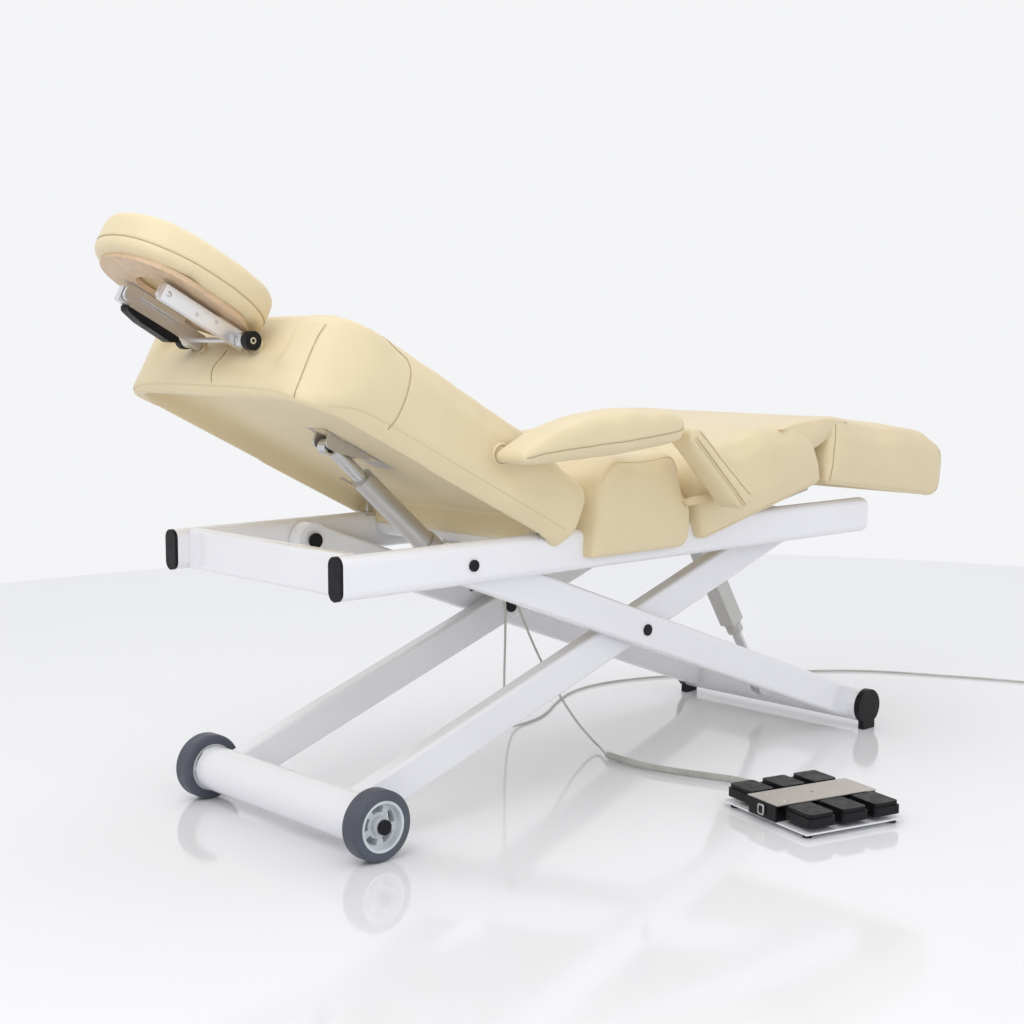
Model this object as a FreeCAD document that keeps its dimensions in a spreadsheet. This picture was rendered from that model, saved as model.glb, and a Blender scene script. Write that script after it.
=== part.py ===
"""Electric facial treatment bed: a scissor-lift base that carries a frame with a reclining back, a seat, a
folding leg rest, parallelogram armrests and an adjustable ring headrest, with a three-rocker foot switch.

Millimetres. X runs from the head end to the foot end, Y across the bed, Z up. Pieces are laid out from the
head end of the side rails, on the bed's middle plane and the floor, then moved by one shared placement."""

import FreeCAD, Part
import math
import os
from FreeCAD import Placement, Rotation, Vector

DOC = FreeCAD.newDocument("FacialBed")
SHEET = DOC.addObject("Spreadsheet::Sheet", "Sizes")

SIZES = [
    ("origin_x", 756, "middle of the whole object along the bed"),
    ("origin_y", -179.8, "middle of the whole object across the bed"),
    ("rail_length", 1522, "side rail"),
    ("rail_depth", 80, "side rail, top to bottom"),
    ("rail_thick", 35, "side rail, across"),
    ("rail_wall", 3, "side rail wall"),
    ("rail_y", 268.5, "middle of a side rail from the bed's middle"),
    ("rail_z", 514, "middle of a side rail above the floor"),
    ("pivot_x", 298, "fixed pivot of the outer arms in the rails"),
    ("pivot_z", 511, "fixed pivot of the outer arms in the rails"),
    ("foot_x", 1546, "axis of the foot tube"),
    ("foot_z", 53, "axis of the foot tube"),
    ("wheel_x", 74, "axis of the wheels"),
    ("wheel_z", 65, "axis of the wheels"),
    ("centre_x", 810, "scissor centre pivot"),
    ("centre_z", 323, "scissor centre pivot"),
    ("roller_x", 1322, "rollers in the rail channels"),
    ("roller_z", 502.5, "rollers in the rail channels"),
    ("arm_depth", 72, "scissor arm, top to bottom"),
    ("arm_width", 36, "scissor arm, across"),
    ("arm_wall", 3, "scissor arm wall"),
    ("outer_arm_y", 231, "middle of an outer arm"),
    ("inner_arm_y", 193, "middle of an inner arm"),
    ("wheel_radius", 65, "tyre"),
    ("wheel_width", 40, "tyre"),
    ("wheel_y", 277, "middle of a wheel"),
    ("hub_radius", 47, "outside of a hub"),
    ("wheel_tube_radius", 44.5, "tube between the wheels"),
    ("foot_tube_radius", 38, "tube between the foot caps"),
    ("pin_radius", 12, "scissor pivot pins"),
    ("running_gap", 0.05, "radial clearance of a pin in its bush"),
    ("cap_radius", 11, "black bolt caps"),
    ("cushion_half", 320, "half the width of the cushions"),
    ("recess_half", 291, "half the width of the space under a cushion"),
    ("recess_depth", 56, "space under a cushion"),
    ("pan_thick", 4, "board under a cushion"),
    ("back_x", 508, "lower corner of the back's side"),
    ("back_z", 521, "lower corner of the back's side"),
    ("back_tilt", 27.05, "recline at rest, degrees"),
    ("back_hinge_x", 495, "recline hinge"),
    ("back_hinge_z", 582, "recline hinge"),
    ("leg_x", 909, "lower rear corner of the leg section"),
    ("leg_z", 505, "lower rear corner of the leg section"),
    ("leg_tilt", 13.6, "rise of the leg section, degrees"),
    ("leg_hinge_x", 905, "leg hinge"),
    ("leg_hinge_z", 575, "leg hinge"),
    ("end_x", 1322, "lower rear corner of the foot section"),
    ("end_z", 598, "lower rear corner of the foot section"),
    ("end_tilt", 7.5, "fall of the foot section, degrees"),
    ("end_hinge_x", 1318, "foot section hinge"),
    ("end_hinge_z", 600.5, "foot section hinge"),
    ("armrest_rear_x", 331, "armrest pivot on the back"),
    ("armrest_rear_z", 717, "armrest pivot on the back"),
    ("armrest_corner_x", 765, "pivot between arm pad and strut"),
    ("armrest_corner_z", 733, "pivot between arm pad and strut"),
    ("armrest_front_x", 929, "strut pivot on its post"),
    ("armrest_front_z", 598, "strut pivot on its post"),
    ("armrest_y", 380, "middle of an arm pad"),
    ("armrest_width", 88, "arm pad"),
    ("strut_width", 76, "padded strut"),
    ("actuator_radius", 22.5, "back actuator tube"),
    ("rod_radius", 14, "back actuator rod"),
    ("ring_x", -127, "middle of the headrest ring"),
    ("ring_z", 1034.5, "middle of the headrest ring"),
    ("ring_tilt", 29.7, "tilt of the headrest ring, degrees"),
    ("ring_length", 332, "headrest ring along the bed"),
    ("ring_width", 280, "headrest ring across the bed"),
    ("ring_thick", 73, "headrest ring cushion"),
    ("switch_x", 878, "middle of the foot switch"),
    ("switch_y", -628, "middle of the foot switch"),
    ("switch_turn", -14, "turn of the foot switch on the floor, degrees"),
    ("switch_length", 236, "foot switch along its row of rockers"),
    ("switch_depth", 262, "foot switch along a rocker"),
    ("cord_radius", 2.6, "straight cords"),
    ("curl_radius", 8, "outside of the curly cord"),
]

for row, (alias, value, meaning) in enumerate(SIZES, start=1):
    SHEET.set(f"A{row}", meaning)
    SHEET.set(f"B{row}", str(value))
    SHEET.setAlias(f"B{row}", alias)
DOC.recompute()

NECK = (-62, 924)
NECK_Y = 90
ARM_END = (-206, 1003)
ARM_Y = 71
SCOOP_HALF = 205
POST_RADIUS = 7
POST_REACH = 200
ROLLER_RADIUS = 14
LINK_PIN = 5
BACK_SLACK = (-4.3, 4.3)
LIFT_SLACK = (1.4, 7.6)
LEG_SLACK = (-1, 0)
HINGE_RADIUS = 6
BACK_BAR = (506, 522)
BACK_BASE = (484, 458)
PIN = 8
BACK_END = (179, 727)
LEG_BASE = (640, 505)
LEG_END = (1062, 560)
LIFT_TOP = (1240, 466)
LIFT_FOOT = (1482, 74)
ARM_EYE = 6.6
ROCKER_PITCH = 78
ROCKER_AXIS = 30
FLOOR_CORD = 2.7
SWITCH_ROUTE = [
    (754, 144.6, 394), (754.5, 134, 392.5), (757, 124, 386), (761, 118, 374), (768, 114, 354), (781, 110,
        322),
    (803, 104, 268), (832, 96, 205), (864, 84, 142), (893, 68, 86), (917, 47, 42), (928, 22, 16), (920,
        -6, 9),
    (902, -32, 9), (886, -58, 9),
]
CURL_ROUTE = [
    (886, -58, 9), (878, -110, 9), (876, -168, 9), (884, -230, 9), (902, -290, 9), (922, -344, 9), (936,
        -394, 9),
    (935, -438, 9.5), (921, -466, 13), (911.2, -494.6, 14.2),
]
MAINS_ROUTE = [
    (738, 144.6, 394), (738, 134, 392.5), (739, 125, 386), (741, 120, 374), (744, 119, 354), (749, 122,
        322),
    (757, 131, 266), (769, 147, 200),
    (790, 172, 132), (820, 202, 76), (860, 238, 34), (905, 272, 9), (945, 292, FLOOR_CORD), (992, 300,
        FLOOR_CORD),
    (1046, 318, FLOOR_CORD), (1104, 352, FLOOR_CORD), (1160, 392, FLOOR_CORD), (1220, 430, FLOOR_CORD),
    (1290, 466, FLOOR_CORD), (1366, 486, FLOOR_CORD), (1444, 488, FLOOR_CORD), (1520, 474, FLOOR_CORD),
    (1596, 448, FLOOR_CORD), (1668, 410, FLOOR_CORD), (1738, 362, FLOOR_CORD), (1806, 312, FLOOR_CORD),
    (1874, 268, FLOOR_CORD), (1944, 228, FLOOR_CORD), (2010, 184, FLOOR_CORD), (2068, 130, FLOOR_CORD),
    (2116, 66, FLOOR_CORD), (2154, -4, FLOOR_CORD), (2190, -76, FLOOR_CORD), (2226, -146, FLOOR_CORD),
    (2258, -218, FLOOR_CORD), (2288, -290, FLOOR_CORD), (2316, -352, FLOOR_CORD), (2326, -391, FLOOR_CORD),
]
COIL_CENTRE = (2298, -405, 0)
SIDES = {"near": -1, "far": 1}
ALONG_Y = Vector(0, 1, 0)
NODES = {}


def size(alias):
    """A driving dimension as a number."""
    return float(SHEET.get(alias))


def point(name):
    """A named place in the side view, as (x, z)."""
    return size(f"{name}_x"), size(f"{name}_z")


def assign(item, prop, value):
    """Sets a property to a number, or binds it to an expression on the sheet."""
    if isinstance(value, str):
        item.setExpression(prop, value)
    else:
        setattr(item, prop, value)


def keep(label, item):
    """Names a finished sub-part and moves it to the shared origin."""
    shift = Placement(Vector(-size("origin_x"), -size("origin_y"), 0), Rotation())
    item.Label = label
    item.Placement = shift.multiply(item.Placement)
    NODES[label] = item


def rod(radius, start, end):
    """A cylinder between two points."""
    start, end = Vector(*start), Vector(*end)
    item = DOC.addObject("Part::Cylinder", "Rod")
    assign(item, "Radius", radius)
    item.Height = (end - start).Length
    item.Placement = Placement(start, Rotation(Vector(0, 0, 1), end - start))
    return item


def cross_rod(radius, place, low, high):
    """A cylinder across the bed at (x, z), from y = low to y = high."""
    return rod(radius, (place[0], low, place[1]), (place[0], high, place[1]))


def block(length, width, height, corner, turn=None):
    """A box from its low corner."""
    item = DOC.addObject("Part::Box", "Block")
    assign(item, "Length", length)
    assign(item, "Width", width)
    assign(item, "Height", height)
    item.Placement = Placement(Vector(*corner), turn or Rotation())
    return item


def beam(start, end, depth, width, y, overrun=0):
    """A rectangular bar centred on the line between two (x, z) points."""
    run = math.hypot(end[0] - start[0], end[1] - start[1])
    slope = math.degrees(math.atan2(end[1] - start[1], end[0] - start[0]))
    turn = Rotation(ALONG_Y, -slope)
    corner = turn.multVec(Vector(-overrun, -width / 2, -depth / 2)) + Vector(start[0], y, start[1])
    return block(run + 2 * overrun, width, depth, corner, turn)


def fuse(*items):
    item = DOC.addObject("Part::MultiFuse", "Joined")
    item.Shapes = list(items)
    item.Refine = True
    return item


def group(*items):
    """Separate solids of one sub-part."""
    item = DOC.addObject("Part::Compound", "Group")
    item.Links = list(items)
    return item


def cut(base, *tools):
    for tool in tools:
        item = DOC.addObject("Part::Cut", "Remainder")
        item.Base, item.Tool = base, tool
        base = item
    return base


def common(base, tool):
    item = DOC.addObject("Part::Common", "Shared")
    item.Base, item.Tool = base, tool
    return item


def tilted(item, name, degrees):
    """Turns a piece drawn in its section's own frame into the bed's frame."""
    x, z = point(name)
    item.Placement = Placement(Vector(x, 0, z), Rotation(ALONG_Y, degrees)).multiply(item.Placement)
    return item


def outline(corners):
    """Closed outline through (u, v, radius) corners, as lines joined by tangent arcs."""
    edges, joints = [], []
    count = len(corners)
    for i, (u, v, radius) in enumerate(corners):
        here = Vector(u, v, 0)
        back = (Vector(*corners[i - 1][:2], 0) - here).normalize()
        ahead = (Vector(*corners[(i + 1) % count][:2], 0) - here).normalize()
        if radius:
            half = back.getAngle(ahead) / 2
            inset = radius / math.tan(half)
            bisector = (back + ahead).normalize()
            middle = here + bisector * (radius / math.sin(half) - radius)
            edges.append(Part.Arc(here + back * inset, middle, here + ahead * inset))
            joints.append((here + back * inset, here + ahead * inset))
        else:
            joints.append((here, here))
    for i in range(count):
        start, end = joints[i][1], joints[(i + 1) % count][0]
        if (end - start).Length > 1e-6:
            edges.append(Part.LineSegment(start, end))
    return edges


def padded(plane, loops, length, offset=0, symmetric=True):
    """A PartDesign body: closed outlines on one origin plane, padded across it."""
    body = DOC.addObject("PartDesign::Body", "Body")
    sketch = body.newObject("Sketcher::SketchObject", "Outline")
    support = [item for item in body.Origin.OriginFeatures if item.Role == plane][0]
    sketch.AttachmentSupport = [(support, "")]
    sketch.MapMode = "FlatFace"
    sketch.AttachmentOffset = Placement(Vector(0, 0, offset), Rotation())
    for corners in loops:
        sketch.addGeometry(outline(corners))
    pad = body.newObject("PartDesign::Pad", "Pad")
    pad.Profile = sketch
    assign(pad, "Length", length)
    pad.SideType = "Symmetric" if symmetric else "One side"
    return body


def side_plate(corners, width, y=0):
    """A side-view outline made `width` thick about y."""
    return padded("XZ_Plane", [corners], width, offset=-y)


def stadium(depth, thick, inset=0):
    """Corners of a flat-oval section, as (y, z, radius)."""
    half_y, half_z = thick / 2 - inset, depth / 2 - inset
    radius = half_y - 0.01
    return [(-half_y, -half_z, radius), (half_y, -half_z, radius), (half_y, half_z, radius), (-half_y,
        half_z, radius)]


def mirrored(make):
    """The same piece on the near and the far side."""
    return group(*[make(side) for side in SIDES.values()])


# ---- lifting frame -------------------------------------------------------------------------------------


def rails():
    """Flat-oval side rails: welded tube with a rounded plug at the foot end."""
    length, depth, thick = size("rail_length"), size("rail_depth"), size("rail_thick")
    plug_length, corner, weld = 20, 14, 2
    for name, side in SIDES.items():
        skin = padded(
            "YZ_Plane",
            [stadium(depth, thick), stadium(depth, thick, size("rail_wall"))],
            "Sizes.rail_length - 2",
            symmetric=False,
        )
        plug = padded("YZ_Plane", [stadium(depth, thick, weld)], plug_length, length - plug_length,
            symmetric=False)
        end = padded("YZ_Plane", [stadium(depth, thick)], weld, length - weld, symmetric=False)
        profile = side_plate(
            [(0, -depth / 2, 0), (length, -depth / 2, corner), (length, depth / 2, corner), (0,
                depth / 2, 0)],
            thick + 2,
        )
        rail = common(fuse(skin, plug, end), profile)
        rail.Placement = Placement(Vector(0, side * size("rail_y"), size("rail_z")), Rotation())
        keep(f"{name}_rail", rail)


def rail_end_caps():
    """Black stadium caps on the head ends of the rails."""
    thick = 7

    def cap(side):
        item = padded("YZ_Plane", [stadium(size("rail_depth"), size("rail_thick"))], thick, -thick,
            symmetric=False)
        item.Placement = Placement(Vector(0, side * size("rail_y"), size("rail_z")), Rotation())
        return item

    keep("rail_end_caps", mirrored(cap))


def crossbars():
    """Tubes welded between the rails: the flat head bar, and round bars that carry the actuators."""
    reach = size("rail_y") - size("rail_thick") / 2
    head_x, head_thick, wall = 26, 30, 3
    head = padded(
        "XZ_Plane",
        [stadium_side(head_thick, size("rail_depth"), 0), stadium_side(head_thick, size("rail_depth"),
            wall)],
        2 * reach,
    )
    head.Placement = Placement(Vector(head_x + head_thick / 2, 0, size("rail_z")), Rotation())
    bar_radius, bore = 17, 14
    bars = [head]
    for x, z in (BACK_BAR, LEG_BASE, (1486, 500)):
        bars.append(cut(cross_rod(bar_radius, (x, z), -reach, reach), cross_rod(bore, (x, z), -reach - 1,
            reach + 1)))
    x, z = BACK_BASE
    drop = [(x - 14, z - 14, 12), (x + 14, z - 14, 12), (BACK_BAR[0] + 12, BACK_BAR[1], 0),
        (BACK_BAR[0] - 14, BACK_BAR[1], 0)]
    ears = [side_plate(drop, 6, y) for y in (-30, 30)]
    bars[1] = cut(fuse(bars[1], *ears, cross_rod(PIN, BACK_BASE, -30, 30)), cross_rod(bore, BACK_BAR,
        -reach, reach))
    keep("crossbars", group(*bars))


def stadium_side(thick, depth, inset):
    """Rounded section of the head bar in the side view."""
    half_x, half_z, radius = thick / 2 - inset, depth / 2 - inset, 8 - inset
    return [(-half_x, -half_z, radius), (half_x, -half_z, radius), (half_x, half_z, radius), (-half_x,
        half_z, radius)]


def roller_channels():
    """Open channels on the insides of the rails, in which the inner arms' rollers run."""
    start, end, wall, gap = 1196, 1424, 3, 0.4
    inner = size("rail_y") - size("rail_thick") / 2
    clear = ROLLER_RADIUS + gap

    def channel(side):
        low, high = sorted((side * (inner - 31), side * inner))
        z = size("roller_z")
        outside = block(end - start, high - low, 2 * (clear + wall), (start, low, z - clear - wall))
        open_low = low - 1 if side > 0 else low + wall
        inside = block(end - start + 2, high - low + 1 - wall, 2 * clear, (start - 1, open_low, z - clear))
        return cut(outside, inside)

    return mirrored(channel)


def rail_brackets():
    """Ears on the rails that hold the back's and the leg section's hinge pins."""
    inner, thick = 262, 6
    top = size("rail_z") + size("rail_depth") / 2

    def ears(side):
        y = side * (inner + thick / 2)
        plates = []
        for name, half in (("back_hinge", 20), ("leg_hinge", 18)):
            x, z = point(name)
            sides = [(x - half, top - 6, 0), (x + half, top - 6, 0), (x + half - 4, z + 13, 10),
                (x - half + 4, z + 13, 10)]
            plate = side_plate(sides, thick, y)
            base = block(2 * half + 20, size("rail_thick") + 2, 8, (x - half - 10,
                side * size("rail_y") - 18.5, top - 8))
            seat = padded("YZ_Plane", [stadium(size("rail_depth"), size("rail_thick"))], 140, x - 70,
                symmetric=False)
            seat.Placement = Placement(Vector(0, side * size("rail_y"), size("rail_z")), Rotation())
            bore = cross_rod(HINGE_RADIUS + size("running_gap"), (x, z), y - 10, y + 10)
            plates.append(cut(fuse(plate, base), seat, bore))
        return group(*plates)

    keep("rail_brackets", group(roller_channels(), mirrored(ears)))


def rail_pins():
    """Fixed pivot pins that stand inwards from the rails through the outer arms, with black caps."""
    face = size("rail_y") - size("rail_thick") / 2
    outer = size("rail_y") + size("rail_thick") / 2
    end = size("outer_arm_y") - size("arm_width") / 2 - 5

    def pin(side):
        shaft = cross_rod("Sizes.pin_radius", point("pivot"), *ordered(side, end, face))
        inner_cap = cross_rod("Sizes.pin_radius + 4", point("pivot"), *ordered(side, end - 4, end))
        outer_cap = cross_rod("Sizes.cap_radius", point("pivot"), *ordered(side, outer, outer + 4))
        return group(fuse(shaft, inner_cap), outer_cap)

    keep("rail_pins", mirrored(pin))


def ordered(side, low, high):
    """A span across the bed on one side, low end first."""
    return sorted((side * low, side * high))


def control_box():
    """Control unit hung between the rails under the seat, with its plate."""
    length, width, height = 150, 124, 34
    corner = (588, 46, 452)
    case = DOC.addObject("Part::Fillet", "Case")
    base = block(length, width, height, corner)
    DOC.recompute()
    case.Base = base
    case.Edges = [(number, 6, 6) for number in range(1, 13)]
    keep("control_box", case)


# ---- scissor lift --------------------------------------------------------------------------------------


def arm(start, end, side, y, bushes, seat, seat_radius):
    """A hollow arm with bushes where pins cross it and a scooped end against its cross tube."""
    depth, width, wall = size("arm_depth"), size("arm_width"), size("arm_wall")
    middle = side * y
    skin = beam(start, end, depth, width, middle)
    DOC.recompute()
    rounded = DOC.addObject("Part::Fillet", "RoundedArm")
    rounded.Base = skin
    rounded.Edges = [(number, 7, 7) for number in long_edges(skin)]
    head = cross_rod(depth / 2, bushes[-1] if bushes[-1] != seat else start, middle - width / 2,
        middle + width / 2)
    hollow = beam(start, end, depth - 2 * wall, width - 2 * wall, middle, overrun=-30)
    solid = fuse(rounded, head)
    pieces = [cut(solid, hollow)]
    for place in bushes:
        pieces.append(cross_rod(size("pin_radius") + 8, place, middle - width / 2, middle + width / 2))
    whole = fuse(*pieces)
    bores = [
        cross_rod(size("pin_radius") + size("running_gap"), place, middle - width,
            middle + width) for place in bushes
    ]
    scoop = cross_rod(seat_radius, seat, middle - width, middle + width)
    return cut(whole, scoop, *bores)


def long_edges(box):
    """Numbers of a box's edges along its length."""
    return [number for number, edge in enumerate(box.Shape.Edges, start=1) if edge.Length > 500]


def outer_arms():
    """Arms from the rails' fixed pivots down to the foot tube."""
    foot, pivot, bushes = point("foot"), point("pivot"), [point("centre"), point("pivot")]

    def make(side):
        return arm(foot, pivot, side, size("outer_arm_y"), bushes, foot, size("foot_tube_radius"))

    keep("outer_arms", mirrored(make))


def inner_arms():
    """Arms from the wheel tube up to the rollers."""
    wheel, roller, bushes = point("wheel"), point("roller"), [point("centre"), point("roller")]

    def make(side):
        return arm(wheel, roller, side, size("inner_arm_y"), bushes, wheel, size("wheel_tube_radius"))

    keep("inner_arms", mirrored(make))


def foot_tube():
    """Cross tube that the outer arms swing on, open at its ends for the foot caps' journals."""
    half, wall = 271.5, 4
    tube = cross_rod("Sizes.foot_tube_radius", point("foot"), -half, half)
    bore = cross_rod(size("foot_tube_radius") - wall, point("foot"), -half - 1, half + 1)
    keep("foot_tube", group(cut(tube, bore), lift_bracket()))


def foot_caps():
    """Black end caps: a journal in the foot tube, a round face and a flat pad on the floor."""
    face, journal, radius, thick = 272, 238, 41, 15
    x, z = point("foot")

    def cap(side):
        disc = cross_rod(radius, point("foot"), *ordered(side, face, face + thick))
        plug = cross_rod(size("foot_tube_radius") - 4 - size("running_gap"), point("foot"),
            *ordered(side, journal, face))
        low = min(ordered(side, face, face + thick))
        pad = block(44, thick, z - 20, (x - 22, low, 0))
        return fuse(disc, plug, pad)

    keep("foot_caps", mirrored(cap))


def scissor_pins():
    """Centre pins, fixed in the outer arms and running in the inner arms, with black caps at both ends."""
    inner = size("inner_arm_y") - size("arm_width") / 2 - 4
    outer = size("outer_arm_y") + size("arm_width") / 2

    def pin(side):
        shaft = cross_rod("Sizes.pin_radius", point("centre"), *ordered(side, inner, outer))
        inner_cap = cross_rod("Sizes.cap_radius + 4", point("centre"), *ordered(side, inner - 5, inner))
        outer_cap = cross_rod("Sizes.cap_radius + 1", point("centre"), *ordered(side, outer, outer + 3))
        return fuse(shaft, inner_cap, outer_cap)

    keep("scissor_pins", mirrored(pin))


def wheel_tube():
    """Cross tube between the wheels."""
    half, wall = 250, 4
    tube = cross_rod("Sizes.wheel_tube_radius", point("wheel"), -half, half)
    bore = cross_rod(size("wheel_tube_radius") - wall, point("wheel"), -half + 12, half - 12)
    return cut(tube, bore)


def wheel_axles():
    """Stub axles with black bolt heads that the wheels turn on."""
    radius, tube_end, hub_out = 10, 250, size("wheel_y") + size("wheel_width") / 2

    def axle(side):
        stub = cross_rod(radius, point("wheel"), *ordered(side, tube_end, hub_out + 1))
        head = cross_rod(radius + 4, point("wheel"), *ordered(side, hub_out + 1, hub_out + 6))
        return fuse(stub, head)

    keep("wheel_axles", mirrored(axle))


def wheels():
    """Grey tyres on slotted hubs."""
    middle, width = size("wheel_y"), size("wheel_width")
    x, z = point("wheel")
    for name, side in SIDES.items():
        low, high = ordered(side, middle - width / 2, middle + width / 2)
        disc = cross_rod("Sizes.wheel_radius", point("wheel"), low, high)
        bore = cross_rod("Sizes.hub_radius", point("wheel"), low - 1, high + 1)
        ring = cut(disc, bore)
        DOC.recompute()
        tyre = DOC.addObject("Part::Fillet", "Tyre")
        tyre.Base = ring
        rims = [
            number
            for number, edge in enumerate(ring.Shape.Edges, start=1)
            if len(edge.Vertexes) == 1 and edge.BoundBox.DiagonalLength > 2.7 * size("wheel_radius")
        ]
        tyre.Edges = [(number, 7, 7) for number in rims]
        keep(f"{name}_tyre", tyre)
        keep(f"{name}_hub", hub((x, z), side, low, high))


def hub(place, side, low, high):
    """Rim, slotted web and boss."""
    rim = cut(
        cross_rod("Sizes.hub_radius", place, low, high),
        cross_rod(size("hub_radius") - 5, place, low - 1, high + 1),
    )
    web = cross_rod(size("hub_radius") - 4, place, low + 14, high - 14)
    boss = cross_rod(17, place, low + 1, high - 1)
    slots = []
    count, inner, outer, sweep = 5, 24, 36, 46
    for index in range(count):
        sector = DOC.addObject("Part::Cylinder", "Slot")
        sector.Radius = outer
        sector.Height = high - low
        sector.Angle = sweep
        turn = Rotation(Vector(1, 0, 0), 90).multiply(Rotation(Vector(0, 0, 1), index * 360 / count))
        sector.Placement = Placement(Vector(place[0], high, place[1]), turn)
        slots.append(cut(sector, cross_rod(inner, place, low - 1, high + 1)))
    bore = cross_rod(10 + size("running_gap"), place, low - 1, high + 1)
    return cut(fuse(rim, web, boss), *slots, bore)


def arm_rollers():
    """Nylon rollers on the inner arms' upper ends, with their pins."""
    arm_face = size("inner_arm_y") + size("arm_width") / 2
    start, end = 224, 246

    def roller(side):
        wheel = cross_rod(ROLLER_RADIUS, point("roller"), *ordered(side, start, end))
        return fuse(wheel, cross_rod("Sizes.pin_radius", point("roller"), *ordered(side, arm_face - 36,
            start)))

    keep("arm_rollers", mirrored(roller))


def inner_cross_tubes():
    """Round tube between the inner arms that carries the lift actuator's ears."""
    reach = size("inner_arm_y") - size("arm_width") / 2
    tube = cut(cross_rod(17, LIFT_TOP, -reach, reach), cross_rod(14, LIFT_TOP, -reach - 1, reach + 1))
    keep("inner_cross_tubes", group(wheel_tube(), tube))


def lift_actuator():
    """Square motor housing hung from the inner cross tube, and the rod that pushes on the foot tube."""
    top, foot = Vector(LIFT_TOP[0], 0, LIFT_TOP[1]), Vector(LIFT_FOOT[0], 0, LIFT_FOOT[1])
    along = (foot - top).normalize()
    pitch = math.degrees(math.atan2(along.z, along.x))
    width, near_end, far_end, collar = 44, 30, 268, 24
    axis = (along.x, along.z)
    box = beam(place_along(top, axis, near_end), place_along(top, axis, far_end), width, width, 0)
    DOC.recompute()
    case = DOC.addObject("Part::Fillet", "LiftCase")
    case.Base = box
    case.Edges = [(number, 5, 5) for number in range(1, 13)]
    ring = rod(width / 2 - 2, at(place_along(top, axis, far_end)), at(place_along(top, axis,
        far_end + collar)))
    ears = []
    for y in (-20, 14):
        ear = side_plate([(-22, -12, 8), (34, -12, 0), (34, 12, 0), (-22, 12, 8)], 6, y + 3)
        ear.Placement = Placement(top, Rotation(ALONG_Y, -pitch))
        ears.append(ear)
    clasp = cross_rod(17 + size("running_gap"), LIFT_TOP, -30, 30)
    sleeve = cross_rod(24, LIFT_TOP, -20, 20)
    motor = fuse(case, ring, *ears, sleeve)
    bore = rod(12 + size("running_gap"), at(place_along(top, axis, 38)), at(place_along(top, axis,
        far_end + 60)))
    keep("lift_housing", cut(motor, clasp, bore))
    start = place_along(top, axis, 130)
    middle = offset_along(foot, axis, *LIFT_SLACK)
    shaft = rod(12, at(start), at(place_along(foot, axis, -14)))
    hole = cross_rod(LINK_PIN + 9, middle, -12, 12)
    keep("lift_rod", cut(fuse(shaft, cross_rod(21, middle, -11, 11)), hole))


def at(place):
    """A side-view place on the middle plane."""
    return place[0], 0, place[1]


def place_along(origin, axis, distance):
    """The side-view place at a distance along an axis."""
    return origin.x + axis[0] * distance, origin.z + axis[1] * distance


def lift_bracket():
    """Clevis on the foot tube with the lift rod's pin."""
    x, z = point("foot")
    plates = []
    for y in (-20, 14):
        plate = side_plate(
            [(x - 84, z + 6, 14), (x - 10, z - 30, 0), (x + 14, z - 30, 0), (x + 14, z + 40, 0), (x - 50,
                z + 42, 12)],
            6,
            y + 3,
        )
        plates.append(plate)
    pin = cross_rod(LINK_PIN, LIFT_FOOT, -20, 20)
    tube = cross_rod("Sizes.foot_tube_radius", point("foot"), -40, 40)
    return cut(fuse(*plates, pin), tube)


def cord_gland():
    """Cable clip on a tab from the far outer arm; both cords leave its face."""
    face = size("outer_arm_y") - size("arm_width") / 2
    tab = block(44, face - 160, 4, (724, 160, 378))
    riser = block(44, 4, 30, (724, face - 4, 360))
    body = block(44, 16, 26, (724, 145, 382))
    keep("cord_gland", fuse(tab, riser, body))


# ---- back, seat and leg cushions -----------------------------------------------------------------------


def back_parts():
    """Back cushion with its side skirts, its board, hinge lugs and actuator bracket, in the back's frame."""
    length, head_radius, lower_end = 686, 128, 40
    side = [
        (0, 0, 14), (15, 43, 30), (15, 107, 12), (-2, 127, 16), (-101, 152, 60), (-167, 164, 0),
        (-420, 171, 0), (-length, 166, 30), (-length, 12, 12), (-664, 0, 10),
    ]
    half = size("cushion_half")
    plan = [(40, -half, 0), (40, half, 0), (-length, half, head_radius), (-length, -half, head_radius)]
    bulk = common(
        padded("XZ_Plane", [side], "2 * Sizes.cushion_half"),
        padded("XY_Plane", [plan], 400, symmetric=True),
    )
    recess = padded(
        "XY_Plane",
        [[(lower_end, -291, 0), (lower_end, 291, 0), (-length + 34, 291, 90), (-length + 34, -291, 90)]],
        "2 * Sizes.recess_depth",
        symmetric=True,
    )
    hinge = [block(110, 36, 120, (-85, low, -20)) for low in (-284, 248)]
    neck = local_place("back", size("back_tilt"), NECK)[1]
    sockets = [rod(POST_RADIUS + 0.4, (-length - 9, y, neck), (-length + POST_REACH + 4, y,
        neck)) for y in (-NECK_Y, NECK_Y)]
    scoop = side_plate(
        [(-length - 14, 30, 0), (-length, 30, 0), (-672, 72, 40), (-654, 98, 30), (-622, 122, 20), (-606,
            171, 10),
         (-596, 260, 0), (-length - 14, 260, 0)],
        2 * SCOOP_HALF,
    )
    neck_roll = side_plate(
        [(-600, 150, 0), (-603, 180, 8), (-590, 202, 14), (-554, 206, 30), (-496, 168, 0), (-496, 150, 0)],
        2 * SCOOP_HALF - 30,
    )
    pocket = actuator_pocket()
    foam = fuse(cut(bulk, recess, scoop, pocket, *hinge, *sockets), neck_roll)
    keep("back_cushion", tilted(foam, "back", size("back_tilt")))
    board = padded(
        "XY_Plane",
        [[(-4, -244, 6), (-4, 244, 6), (-length + 38, 244, 80), (-length + 38, -244, 80)]],
        "Sizes.pan_thick",
        offset=size("recess_depth") - size("pan_thick"),
        symmetric=False,
    )
    keep("back_board", tilted(cut(board, actuator_pocket()), "back", size("back_tilt")))


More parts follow.
